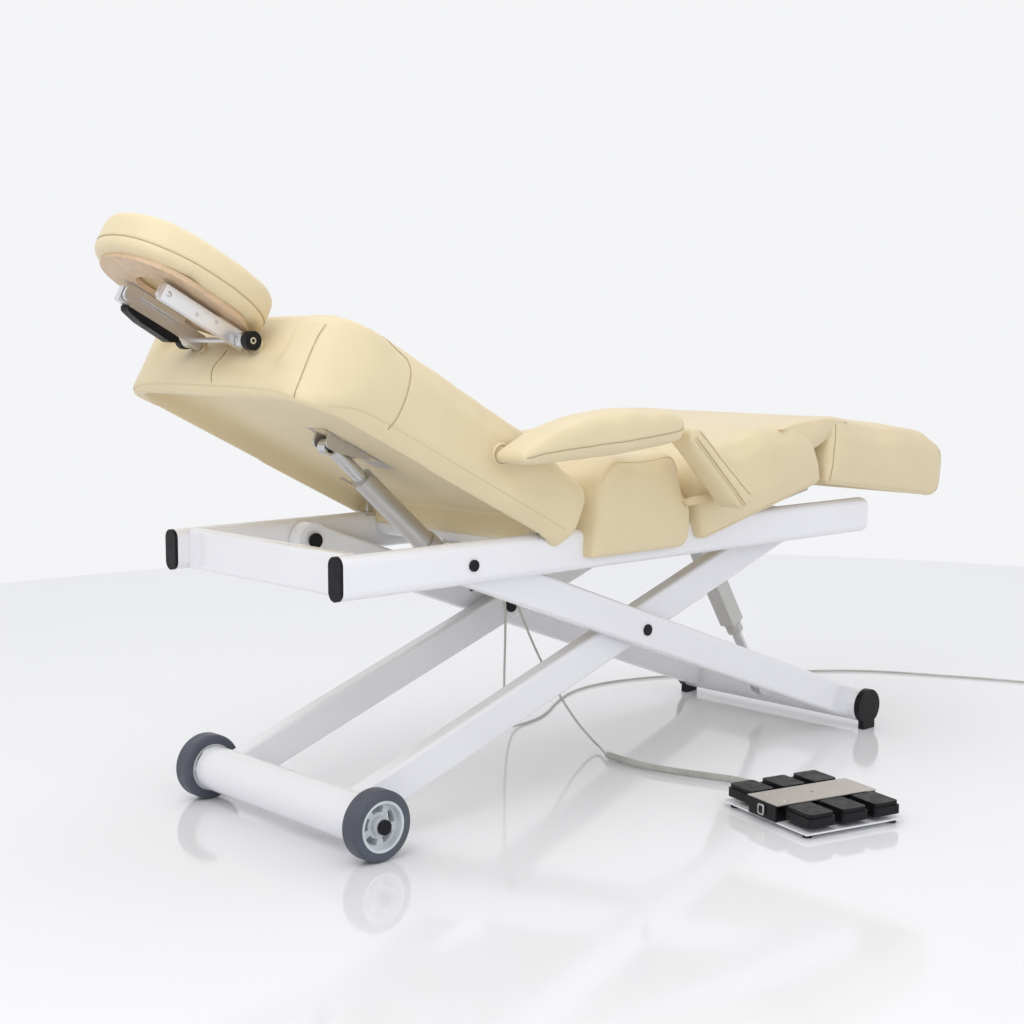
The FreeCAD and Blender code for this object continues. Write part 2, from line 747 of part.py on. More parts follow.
def actuator_pocket():
    """Room above the back actuator's eye, through the board and into the foam."""
    end = local_place("back", size("back_tilt"), BACK_END)
    return block(150, 36, 34, (end[0] - 34, -18, size("recess_depth") - size("pan_thick") - 6))


def back_hinges():
    """Lugs screwed under the back board that carry the recline pins."""
    x, z = point("back_hinge")
    local = local_place("back", size("back_tilt"), (x, z))

    def lug(side):
        y_low = min(ordered(side, 254, 260))
        plate = side_plate(
            [(local[0] - 16, local[1] - 12, 10), (local[0] + 14, local[1] - 12, 10), (local[0] + 14,
                local[1] + 14, 10),
             (local[0] - 16, local[1] + 14, 10)],
            6,
            y_low + 3,
        )
        pin = cross_rod(HINGE_RADIUS, local, *ordered(side, 258, 272))
        bar = block(140, 8, 6, (-150, side * 248 - 4, size("recess_depth") - 10))
        web = block(60, 10, 12, (local[0] - 40, min(ordered(side, 244, 256)), local[1] - 4))
        return fuse(plate, pin, bar, web)

    return mirrored(lug)


def local_place(name, degrees, place):
    """A side-view place in the frame of a tilted section."""
    x, z = point(name)
    turned = Rotation(ALONG_Y, -degrees).multVec(Vector(place[0] - x, 0, place[1] - z))
    return turned.x, turned.z


def back_brackets():
    """Pressed channel under the back board with the pin for the back actuator's rod."""
    end = local_place("back", size("back_tilt"), BACK_END)
    ceiling = size("recess_depth") - size("pan_thick")
    ears = []
    for y in (-23, 18):
        ears.append(
            side_plate(
                [(end[0] - 20, ceiling, 0), (end[0] - 18, end[1] - 12, 12), (end[0] + 16, end[1] - 12, 10),
                 (end[0] + 90, ceiling - 12, 8), (end[0] + 90, ceiling, 0)],
                5,
                y + 2.5,
            )
        )
    plate = cut(block(190, 66, 3, (end[0] - 38, -33, ceiling - 3)), actuator_pocket())
    pin = cross_rod(LINK_PIN, end, -23, 23)
    keep("back_brackets", tilted(group(back_hinges(), fuse(*ears, plate, pin)), "back", size("back_tilt")))


def arm_pivot_pins():
    """Pins with round escutcheons on the back's sides, on which the arm pads turn."""

    def pin(side):
        disc = cross_rod(20, point("armrest_rear"), *ordered(side, 320, 323))
        shaft = cross_rod(HINGE_RADIUS, point("armrest_rear"), *ordered(side, 323, 352))
        return fuse(disc, shaft)

    keep("arm_pivot_pins", mirrored(pin))


def back_actuator():
    """Electric actuator between the frame and the back: outer tube with motor, and rod."""
    base, end = Vector(BACK_BASE[0], 0, BACK_BASE[1]), Vector(BACK_END[0], 0, BACK_END[1])
    axis = ((end - base).normalize().x, (end - base).normalize().z)
    tube = rod("Sizes.actuator_radius", at(place_along(base, axis, 70)), at(place_along(base, axis, 300)))
    lower = rod(27, at(place_along(base, axis, 16)), at(place_along(base, axis, 92)))
    sleeve = cross_rod(22, BACK_BASE, -24, 24)
    clasp = cross_rod(PIN + size("running_gap"), BACK_BASE, -30, 30)
    bore = rod(size("rod_radius") + size("running_gap"), at(place_along(base, axis, 100)),
        at(place_along(base, axis, 320)))
    keep("back_tube", cut(fuse(tube, lower, sleeve), clasp, bore))
    shaft = rod("Sizes.rod_radius", at(place_along(base, axis, 150)), at(place_along(end, axis, -16)))
    middle = offset_along(end, axis, *BACK_SLACK)
    eye = cross_rod(16, middle, -12, 12)
    slot = cross_rod(LINK_PIN + 6.8, middle, -13, 13)
    keep("back_rod", cut(fuse(shaft, eye), slot))


def offset_along(place, axis, ahead, aside):
    """A side-view place moved along and across an actuator's axis."""
    return place.x + axis[0] * ahead - axis[1] * aside, place.z + axis[1] * ahead + axis[0] * aside


def seat_parts():
    """Seat cushion with skirts outside the rails, and its board on the frame."""
    side = [
        (581, 498, 12), (849, 498, 8), (862, 503, 6), (871, 522, 8), (874, 575, 30), (853, 612,
            30), (838, 655, 30),
        (815, 690, 30), (640, 690, 40), (598, 655, 20), (592, 600, 0),
    ]
    bulk = padded("XZ_Plane", [side], "2 * Sizes.cushion_half")
    recess = block(400, "2 * Sizes.recess_half", 70, (540, -size("recess_half"), 490))
    hinge = [block(60, 42, 130, (560, low, 480)) for low in (-286, 244)]
    slot = block(140, 52, 110, (762, -26, 490))
    keep("seat_cushion", cut(bulk, recess, slot, *hinge))
    top = size("rail_z") + size("rail_depth") / 2
    board = block(236, 570, 560 - top, (616, -285, top))
    keep("seat_board", cut(board, slot))


def leg_cushion():
    """Leg cushion with skirts and its board with the hinge lugs, in the leg section's frame."""
    side = [
        (0, 0, 12), (414, 0, 10), (416, 42, 30), (404, 100, 40), (350, 150, 50), (240, 173, 90), (86,
            180, 60),
        (18, 166, 26), (0, 120, 30),
    ]
    bulk = padded("XZ_Plane", [side], "2 * Sizes.cushion_half")
    recess = block(460, "2 * Sizes.recess_half", 80, (-20, -size("recess_half"), 60 - 80))
    hinge = [block(70, 42, 130, (-20, low, -20)) for low in (-286, 244)]
    slot = block(80, 52, 40, (-20, -26, 50))
    keep("leg_cushion", tilted(cut(bulk, recess, slot, *hinge), "leg", -size("leg_tilt")))


def leg_frame():
    """Board under the leg cushion on side bars, with the leg hinge pins and the foot section's bores."""
    board = block(356, 480, 4, (30, -240, 56))
    knee = local_place("leg", -size("leg_tilt"), point("leg_hinge"))
    ankle = local_place("leg", -size("leg_tilt"), point("end_hinge"))

    def bar(side):
        lug = side_plate(
            [(knee[0] - 12, knee[1] - 12, 8), (60, 57, 0), (60, 66, 6), (knee[0] + 12, knee[1] + 13, 9),
             (knee[0] - 12, knee[1] + 13, 9)],
            6,
            side * 257,
        )
        pin = cross_rod(HINGE_RADIUS, knee, *ordered(side, 258, 272))
        tie = block(30, 22, 3, (32, min(ordered(side, 236, 258)), 57))
        ankle_plate = side_plate(
            [(300, 56, 0), (398, 56, 0), (ankle[0] + 9, ankle[1] + 10, 8), (ankle[0] + 9, ankle[1] - 10, 8),
             (ankle[0] - 10, ankle[1] - 10, 8)],
            6,
            side * 163,
        )
        bore = cross_rod(HINGE_RADIUS + size("running_gap"), ankle, *ordered(side, 150, 180))
        return fuse(lug, pin, tie, cut(ankle_plate, bore))

    ears = []
    end = local_place("leg", -size("leg_tilt"), LEG_END)
    for y in (-18, 12):
        ears.append(side_plate([(end[0] - 14, end[1] - 12, 8), (end[0] + 14, end[1] - 12, 8),
            (end[0] + 20, 56, 0),
                                (end[0] - 20, 56, 0)], 6, y + 3))
    pin = cross_rod(LINK_PIN, end, -18, 18)
    keep("leg_frame", tilted(fuse(board, mirrored(bar), fuse(*ears, pin)), "leg", -size("leg_tilt")))


def leg_actuator():
    """Small actuator between the frame and the leg section."""
    base, end = Vector(LEG_BASE[0], 0, LEG_BASE[1]), Vector(LEG_END[0], 0, LEG_END[1])
    axis = ((end - base).normalize().x, (end - base).normalize().z)
    case = rod(19, at(place_along(base, axis, 40)), at(place_along(base, axis, 270)))
    lower = rod(15, at(place_along(base, axis, 10)), at(place_along(base, axis, 60)))
    sleeve = cross_rod(23, LEG_BASE, -20, 20)
    clasp = cross_rod(17 + size("running_gap"), LEG_BASE, -30, 30)
    bore = rod(10 + size("running_gap"), at(place_along(base, axis, 70)), at(place_along(base, axis, 280)))
    keep("leg_tube", cut(fuse(case, lower, sleeve), clasp, bore))
    shaft = rod(10, at(place_along(base, axis, 80)), at(place_along(end, axis, -9)))
    middle = offset_along(end, axis, *LEG_SLACK)
    eye = cross_rod(13.5, middle, -10, 10)
    keep("leg_rod", cut(fuse(shaft, eye), cross_rod(LINK_PIN + 2, middle, -11, 11)))


def foot_cushion():
    """Foot cushion with skirts, its board and hinge bars with stays, in the foot section's frame."""
    side = [
        (0, 0, 8), (430, 0, 20), (456, 12, 14), (477, 60, 30), (452, 116, 40), (368, 149, 70), (254, 153,
            0),
        (-4, 148, 10),
    ]
    half = size("cushion_half")
    plan = [(-20, -half, 0), (-20, half, 0), (480, half, 26), (480, -half, 26)]
    bulk = common(
        padded("XZ_Plane", [side], "2 * Sizes.cushion_half"), padded("XY_Plane", [plan], 400,
            symmetric=True)
    )
    recess = block(448, "2 * Sizes.recess_half", 80, (-10, -size("recess_half"), 60 - 80))
    keep("foot_cushion", tilted(cut(bulk, recess), "end", size("end_tilt")))


def foot_frame():
    """Board under the foot cushion on side bars, with hinge pins and stays under the leg section."""
    board = block(400, 480, 4, (20, -240, 56))
    ankle = local_place("end", size("end_tilt"), point("end_hinge"))

    def bar(side):
        plate = side_plate(
            [(ankle[0] - 8, ankle[1] + 10, 8), (ankle[0] - 9, ankle[1] - 10, 8), (ankle[0] + 10,
                ankle[1] - 10, 8),
             (130, 56, 0), (34, 56, 0)],
            6,
            side * 155,
        )
        pin = cross_rod(HINGE_RADIUS, ankle, *ordered(side, 153, 168))
        stay = beam((-2, -54), (150, -4), 20, 6, side * 147)
        post = side_plate([(128, -18, 0), (150, -12, 0), (160, 58, 0), (120, 58, 0)], 6, side * 147)
        return fuse(plate, pin, stay, post)

    keep("foot_frame", tilted(fuse(board, mirrored(bar)), "end", size("end_tilt")))


# ---- armrests ------------------------------------------------------------------------------------------


def armrest_posts():
    """Flat bars from the rails up inside the seat's skirts, with arms out to the struts' lower pivots."""
    x, z = point("armrest_front")
    rail_face = size("rail_y") + size("rail_thick") / 2
    low, thick, bar, riser_x, skin, arm_y = 500, 4, 16, 844, 300, 328

    def post(side):
        foot = block(bar, skin + thick - rail_face, thick, (riser_x - bar / 2, min(ordered(side,
            rail_face, skin + thick)), low))
        riser = block(bar, thick, z + 4 - low, (riser_x - bar / 2, min(ordered(side, skin,
            skin + thick)), low))
        link = cross_rod(6, (riser_x, z - 4), *ordered(side, skin, arm_y + 2))
        reach = beam((riser_x, z - 4), (x, z), bar, thick, side * arm_y)
        pin = cross_rod(HINGE_RADIUS, (x, z), *ordered(side, arm_y, 350))
        return fuse(foot, riser, link, reach, pin)

    keep("armrest_posts", mirrored(post))


def arm_pads():
    """Padded armrests, each with its corner pin for the strut."""
    rear, corner = point("armrest_rear"), point("armrest_corner")
    side_view = [
        (rear[0] - 30, 704, 14), (560, 712, 0), (722, 728, 0), (740, 770, 26), (690, 786, 50), (573, 792,
            80),
        (466, 784, 80), (380, 762, 50), (rear[0] - 34, 722, 12),
    ]
    for name, side in SIDES.items():
        pad = side_plate(side_view, "Sizes.armrest_width", side * size("armrest_y"))
        tongue = beam((690, 752), corner, 26, 5, side * 332.5, overrun=10)
        lug = block(70, 8, 24, (640, min(ordered(side, 330, 338)), 738))
        bore = cross_rod(HINGE_RADIUS + 0.2, rear, *ordered(side, 334, 356))
        hole = cross_rod(HINGE_RADIUS + size("running_gap"), corner, *ordered(side, 320, 345))
        keep(f"{name}_arm_pad", cut(fuse(pad, tongue, lug), bore, hole))


def arm_struts():
    """Padded struts between the arm pads' corners and the posts."""
    corner, front = point("armrest_corner"), point("armrest_front")
    run = math.hypot(front[0] - corner[0], front[1] - corner[1])
    axis = ((front[0] - corner[0]) / run, (front[1] - corner[1]) / run)
    start = Vector(corner[0], 0, corner[1])
    for name, side in SIDES.items():
        slope = math.degrees(math.atan2(axis[1], axis[0]))
        pad = side_plate(
            [(-14, -12, 9), (run + 6, -27, 12), (run + 16, 22, 16), (4, 27, 16), (-20, 12, 10)],
            "Sizes.strut_width", side * size("armrest_y"),
        )
        pad.Placement = Placement(start, Rotation(ALONG_Y, -slope))
        corner_pin = cross_rod(HINGE_RADIUS, corner, *ordered(side, 329, 346))
        bore = cross_rod(ARM_EYE, front, *ordered(side, 334, 354))
        keep(f"{name}_arm_strut", cut(fuse(pad, corner_pin), bore))


# ---- headrest ------------------------------------------------------------------------------------------


def headrest():
    """Posts in the back, a tilting frame on a cross rod, and the ring platform on its arms."""
    tilt = size("back_tilt")
    neck = local_place("back", tilt, NECK)
    length = 686

    def post(side):
        sleeve = rod(POST_RADIUS, (-length + POST_REACH, side * NECK_Y, neck[1]), (neck[0],
            side * NECK_Y, neck[1]))
        knuckle = rod(15, (neck[0], side * NECK_Y - 10, neck[1]), (neck[0], side * NECK_Y + 10, neck[1]))
        bore = rod(5 + size("running_gap"), (neck[0], side * NECK_Y - 12, neck[1]), (neck[0],
            side * NECK_Y + 12, neck[1]))
        return cut(fuse(sleeve, knuckle), bore)

    keep("headrest_posts", tilted(mirrored(post), "back", tilt))


def headrest_frame():
    """Cross rod, black end knobs and the two lower arms that the lever locks."""
    arms = []
    for side in SIDES.values():
        y = side * ARM_Y
        bar = beam(NECK, ARM_END, 28, 16, y, overrun=11)
        arms.append(cut(bar, cross_rod(4 + size("running_gap"), ARM_END, y - 9, y + 9)))
    spindle = cross_rod(5, NECK, -NECK_Y - 24, NECK_Y + 24)
    keep("headrest_arms", fuse(*arms, spindle))
    knobs = [cross_rod(17, NECK, *ordered(side, NECK_Y + 11, NECK_Y + 26)) for side in SIDES.values()]
    keep("headrest_knobs", cut(group(*knobs), cross_rod(5, NECK, -NECK_Y - 24, NECK_Y + 24)))


def on_arm(item):
    """Places a piece drawn with the neck as its origin along the lower arms."""
    rise = math.degrees(math.atan2(ARM_END[1] - NECK[1], NECK[0] - ARM_END[0]))
    item.Placement = Placement(Vector(NECK[0], 0, NECK[1]), Rotation(ALONG_Y,
        rise)).multiply(item.Placement)
    return item


def headrest_links():
    """Upper bars inside the arms, with the pins they tilt on, that carry the ring board."""
    reach = math.hypot(ARM_END[0] - NECK[0], ARM_END[1] - NECK[1])
    parts = []
    for side in SIDES.values():
        y = side * 56
        bar = side_plate(
            [(-reach - 10, -10, 10), (-reach + 12, -10, 10), (-reach + 22, 8, 6), (-46, 8, 4), (-46, 20, 4),
             (-reach - 10, 20, 8)],
            8, y,
        )
        parts.append(fuse(on_arm(bar), cross_rod(4, ARM_END, *ordered(side, 56, ARM_Y + 9))))
    keep("headrest_links", group(*parts))


def headrest_lever():
    """Black cam lever hung under the far arm, which locks the headrest."""
    lever = side_plate(
        [(-156, -16, 4), (-40, -16, 4), (-34, -24, 4), (-52, -32, 8), (-120, -30, 30), (-160, -22,
            8)], 26, ARM_Y
    )
    keep("headrest_lever", on_arm(lever))


def ring_loop(length, width, grow=0):
    """Corners of a rounded oval."""
    x, y, radius = length / 2 + grow, width / 2 + grow, min(length, width) / 2 - 6 + grow
    return [(-x, -y, radius), (x, -y, radius), (x, y, radius), (-x, y, radius)]


def headrest_ring():
    """Birch board and padded ring, both with the face opening."""
    length, width, thick = size("ring_length"), size("ring_width"), size("ring_thick")
    hole_length, hole_width, board_thick = 156, 104, 9
    hole = ring_loop(hole_length, hole_width)
    board = padded(
        "XY_Plane", [ring_loop(length - 50, width - 50), ring_loop(hole_length, hole_width,
            -4)], board_thick, -board_thick,
        symmetric=False,
    )
    pad = padded("XY_Plane", [ring_loop(length, width), hole], thick, 0, symmetric=False)
    place = Placement(
        Vector(size("ring_x"), 0, size("ring_z")), Rotation(ALONG_Y, size("ring_tilt"))
    ).multiply(Placement(Vector(0, 0, -thick / 2 + 2), Rotation()))
    board.Placement = place
    pad.Placement = place
    keep("headrest_board", board)
    keep("headrest_cushion", pad)


# ---- foot switch ---------------------------------------------------------------------------------------


def on_switch(item):
    """Turns a piece drawn about the foot switch's middle to where the switch lies."""
    turn = Rotation(Vector(0, 0, 1), size("switch_turn"))
    item.Placement = Placement(Vector(size("switch_x"), size("switch_y"), 0), turn).multiply(item.Placement)
    return item


def switch_frame():
    """Steel base plate on rubber feet, black centre housing and the cover plate over the rockers."""
    length, depth = size("switch_length"), size("switch_depth")
    base_low, base_thick = 8, 3
    plate = block(length, depth, base_thick, (-length / 2, -depth / 2, base_low))
    keep("switch_base", on_switch(plate))
    feet = [
        rod(9, (x, y, 0), (x, y, base_low))
        for x in (-length / 2 + 16, length / 2 - 16)
        for y in (-depth / 2 + 18, depth / 2 - 18)
    ]
    keep("switch_feet", on_switch(group(*feet)))
    floor = base_low + base_thick
    ribs = [block(length, 4, 17, (-length / 2, y - 2, floor)) for y in (-38, 38)]
    ends = [block(6, 84, 32, (x, -42, floor)) for x in (-length / 2 - 4, length / 2 - 2)]
    rungs = [block(3, 84, 32, (x - 1.5, -42, floor)) for x in (-ROCKER_PITCH / 2, ROCKER_PITCH / 2)]
    axle = rod(3, (-length / 2 + 2, 0, ROCKER_AXIS), (length / 2 - 2, 0, ROCKER_AXIS))
    socket = rod(7, (-length / 2 - 8, 0, 26), (-length / 2 - 4, 0, 26))
    entry = rod(3, (0, 40, 14.2), (0, depth / 2 + 6, 14.2))
    keep("switch_housing", on_switch(fuse(*ribs, *ends, *rungs, axle, socket, entry)))
    cover = block(length + 6, 94, 2, (-length / 2 - 3, -47, floor + 32))
    screws = [rod(3, (x, y, 40), (x, y, 48)) for x, y in ((-90, 28), (-90, -28), (0, 0), (90, 28), (90,
        -28))]
    keep("switch_cover", on_switch(cut(cover, *screws)))


def rockers():
    """Three rockers, each with a treadle at both ends."""
    depth, width, gap = size("switch_depth"), ROCKER_PITCH - 15, 0.1
    for number in range(3):
        x = (number - 1) * ROCKER_PITCH
        spine = block(width - 12, depth - 60, 8, (x - width / 2 + 6, -depth / 2 + 30, 32))
        boss = rod(8, (x - width / 2 + 6, 0, ROCKER_AXIS), (x + width / 2 - 6, 0, ROCKER_AXIS))
        treads = []
        for low in (-depth / 2 + 1, depth / 2 - 79):
            for inset, bottom, top in ((0, 20, 37), (3, 37, 45)):
                near, far = low + inset, low + 78 - inset
                left, right = x - width / 2 + inset, x + width / 2 - inset
                corners = [(left, near, 7), (right, near, 7), (right, far, 7), (left, far, 7)]
                treads.append(padded("XY_Plane", [corners], top - bottom, bottom, symmetric=False))
        bore = rod(3 + gap, (x - width, 0, ROCKER_AXIS), (x + width, 0, ROCKER_AXIS))
        keep(f"rocker_{number + 1}", on_switch(cut(fuse(spine, boss, *treads), bore)))


# ---- cords ---------------------------------------------------------------------------------------------


def cord_tube(label, route, radius):
    """A round cord along straight runs joined by tangent arcs, as one swept tube."""
    points = [Vector(*place) for place in route]
    edges, start = [], points[0]
    for before, corner, after in zip(points, points[1:], points[2:]):
        back, ahead = (before - corner).normalize(), (after - corner).normalize()
        half = back.getAngle(ahead) / 2
        shorter = min((before - corner).Length, (after - corner).Length)
        inset = 0.45 * shorter
        bend = inset * math.tan(half)
        middle = corner + (back + ahead).normalize() * (bend / math.sin(half) - bend)
        edges.append(Part.LineSegment(start, corner + back * inset).toShape())
        edges.append(Part.Arc(corner + back * inset, middle, corner + ahead * inset).toShape())
        start = corner + ahead * inset
    edges.append(Part.LineSegment(start, points[-1]).toShape())
    path = Part.Wire(edges)
    rim = Part.Wire([Part.Circle(points[0], points[1] - points[0], radius).toShape()])
    tube = path.makePipeShell([rim], True, False)
    print(f"{label}: length {path.Length:.0f}")
    item = DOC.addObject("Part::Feature", "Cord")
    item.Shape = tube
    keep(label, item)


def cords():
    """Switch lead, its curly stretch, the mains lead, its stored coil and plug."""
    cord_tube("switch_lead", SWITCH_ROUTE, size("cord_radius"))
    cord_tube("switch_curl", CURL_ROUTE, size("curl_radius"))
    cord_tube("mains_lead", MAINS_ROUTE, size("cord_radius"))
    x, y, z = COIL_CENTRE
    outer, inner, height = 36.2, 25.8, 10.6
    coil = cut(rod(outer, (x, y, z), (x, y, height)), rod(inner, (x, y, -1), (x, y, height + 1)))
    keep("mains_coil", coil)
    plug_x, face = x + 2, y - outer - 0.6
    body = rod(10, (plug_x, face, 13), (plug_x, face - 27, 13))
    collar = rod(13, (plug_x, face - 26, 13), (plug_x, face - 38, 13))
    pins = [rod(2.4, (plug_x + offset, face - 37, 13), (plug_x + offset, face - 56,
        13)) for offset in (-8, 8)]
    keep("mains_plug", fuse(body, collar, *pins))


def build():
    """Every sub-part, base first."""
    for make in (
        foot_caps, outer_arms, foot_tube, scissor_pins, cord_gland, inner_arms, inner_cross_tubes, wheel_axles, wheels,
        arm_rollers, lift_actuator, rails, rail_end_caps, crossbars, rail_brackets, rail_pins, control_box, back_parts,
        back_brackets, arm_pivot_pins, back_actuator, seat_parts, leg_cushion, leg_frame, leg_actuator, foot_cushion,
        foot_frame, armrest_posts, arm_pads, arm_struts, headrest, headrest_frame, headrest_links, headrest_lever,
        headrest_ring, switch_frame, rockers, cords,
    ):
        make()


def export():
    """Checks every object and each sub-part's shape, then writes the files."""
    DOC.recompute()
    for item in DOC.Objects:
        if "Invalid" in item.State or "Error" in item.State:
            raise RuntimeError(f"{item.Name} {item.Label} of type {item.TypeId} failed")
    os.makedirs("parts", exist_ok=True)
    for label, item in NODES.items():
        if item.Shape.isNull() or not item.Shape.isValid():
            raise RuntimeError(f"{label} has no valid shape")
        item.Shape.exportStep(f"parts/{label}.step")
    low = Vector(*[min(getattr(item.Shape.BoundBox,
        side) for item in NODES.values()) for side in ("XMin", "YMin", "ZMin")])
    print(f"{len(NODES)} sub-parts, lowest corner {low}")


build()
export()
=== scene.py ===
"""Looks of an electric facial treatment bed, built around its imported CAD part."""
import math

import bmesh
import bpy
from mathutils import Matrix, Vector
from mathutils.bvhtree import BVHTree
from mathutils.kdtree import KDTree


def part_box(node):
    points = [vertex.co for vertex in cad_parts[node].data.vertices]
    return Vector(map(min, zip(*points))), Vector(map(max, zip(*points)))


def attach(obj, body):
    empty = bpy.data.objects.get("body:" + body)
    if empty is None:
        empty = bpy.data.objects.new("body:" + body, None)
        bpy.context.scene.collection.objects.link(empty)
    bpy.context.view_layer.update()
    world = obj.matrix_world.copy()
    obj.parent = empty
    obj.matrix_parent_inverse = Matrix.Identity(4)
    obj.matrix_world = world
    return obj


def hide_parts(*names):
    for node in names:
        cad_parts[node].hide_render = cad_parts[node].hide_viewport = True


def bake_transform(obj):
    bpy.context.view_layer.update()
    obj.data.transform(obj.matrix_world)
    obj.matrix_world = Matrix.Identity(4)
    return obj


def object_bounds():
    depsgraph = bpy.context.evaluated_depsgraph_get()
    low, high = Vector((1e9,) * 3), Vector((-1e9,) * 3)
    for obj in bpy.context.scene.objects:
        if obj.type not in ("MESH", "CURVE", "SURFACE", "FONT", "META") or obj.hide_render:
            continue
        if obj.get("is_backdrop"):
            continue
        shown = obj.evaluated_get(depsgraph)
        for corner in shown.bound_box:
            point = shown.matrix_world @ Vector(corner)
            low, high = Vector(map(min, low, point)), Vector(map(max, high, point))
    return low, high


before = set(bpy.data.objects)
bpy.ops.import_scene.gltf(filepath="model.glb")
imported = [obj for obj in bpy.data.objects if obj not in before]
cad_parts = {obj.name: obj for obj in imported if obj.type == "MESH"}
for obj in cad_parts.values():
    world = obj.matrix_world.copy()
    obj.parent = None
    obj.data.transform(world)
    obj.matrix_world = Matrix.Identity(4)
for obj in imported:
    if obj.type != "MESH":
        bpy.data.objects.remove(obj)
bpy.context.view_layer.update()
SCENE = bpy.context.scene
MM = 0.001
NEAR_RAIL, FAR_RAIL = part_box("near_rail"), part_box("far_rail")
BED_ORIGIN = Vector((NEAR_RAIL[0][0], (NEAR_RAIL[0][1] + FAR_RAIL[1][1]) / 2, 0))


def at(x, y, z):
    """A point given in millimetres from the rails' head ends, on the centre plane."""
    return BED_ORIGIN + Vector((x, y, z)) * MM


# ------------------------------------------------------------------ camera, world and lights
CAMERA_PLACE = (-1701.7, -2567.5, 944.2)
CAMERA_YAW, CAMERA_PITCH, CAMERA_LENS = math.radians(47.43), math.radians(6.28), 58.46
GAZE = Vector((math.cos(CAMERA_PITCH) * math.cos(CAMERA_YAW), math.cos(CAMERA_PITCH) * math.sin(CAMERA_YAW),
    -math.sin(CAMERA_PITCH)))


def make_camera():
    camera = bpy.data.objects.new("camera", bpy.data.cameras.new("camera"))
    SCENE.collection.objects.link(camera)
    camera.location = at(*CAMERA_PLACE)
    camera.rotation_mode = "QUATERNION"
    camera.rotation_quaternion = GAZE.to_track_quat("-Z", "Y")
    camera.data.lens = CAMERA_LENS
    camera.data.sensor_width = 36
    camera.data.clip_start, camera.data.clip_end = 0.05, 60
    SCENE.camera = camera


def make_world():
    """A white room: bright where it is seen, softer where it lights."""
    world = bpy.data.worlds.new("white_room")
    world.use_nodes = True
    nodes, links = world.node_tree.nodes, world.node_tree.links
    nodes.clear()
    out, mix = nodes.new("ShaderNodeOutputWorld"), nodes.new("ShaderNodeMixShader")
    seen, lit = nodes.new("ShaderNodeBackground"), nodes.new("ShaderNodeBackground")
    path = nodes.new("ShaderNodeLightPath")
    seen.inputs["Color"].default_value, seen.inputs["Strength"].default_value = (0.905, 0.91, 0.925, 1), 1.0
    lit.inputs["Color"].default_value, lit.inputs["Strength"].default_value = (0.96, 0.965, 1.0, 1), 0.82
    links.new(path.outputs["Is Diffuse Ray"], mix.inputs[0])
    links.new(seen.outputs[0], mix.inputs[1])
    links.new(lit.outputs[0], mix.inputs[2])
    links.new(mix.outputs[0], out.inputs["Surface"])
    SCENE.world = world
    SCENE.view_settings.view_transform = "Standard"
    SCENE.view_settings.look = "None"


def area_light(name, place, target, size, watts, color=(1, 1, 1)):
    data = bpy.data.lights.new(name, "AREA")
    data.shape, data.size, data.size_y, data.energy, data.color = "RECTANGLE", size[0], size[1], watts, color
    light = bpy.data.objects.new(name, data)
    SCENE.collection.objects.link(light)
    light.location = at(*place)
    light.rotation_mode = "QUATERNION"
    light.rotation_quaternion = (at(*target) - at(*place)).to_track_quat("-Z", "Y")
    light.visible_camera = False


make_camera()
make_world()
area_light("key", (-1500, -900, 2700), (600, 0, 500), (1.8, 1.8), 22, (1.0, 0.985, 0.96))
area_light("top", (900, 300, 3200), (800, 0, 300), (2.6, 2.0), 14)
area_light("fill", (300, -3600, 1500), (700, 0, 400), (2.4, 1.6), 12, (0.95, 0.97, 1.0))


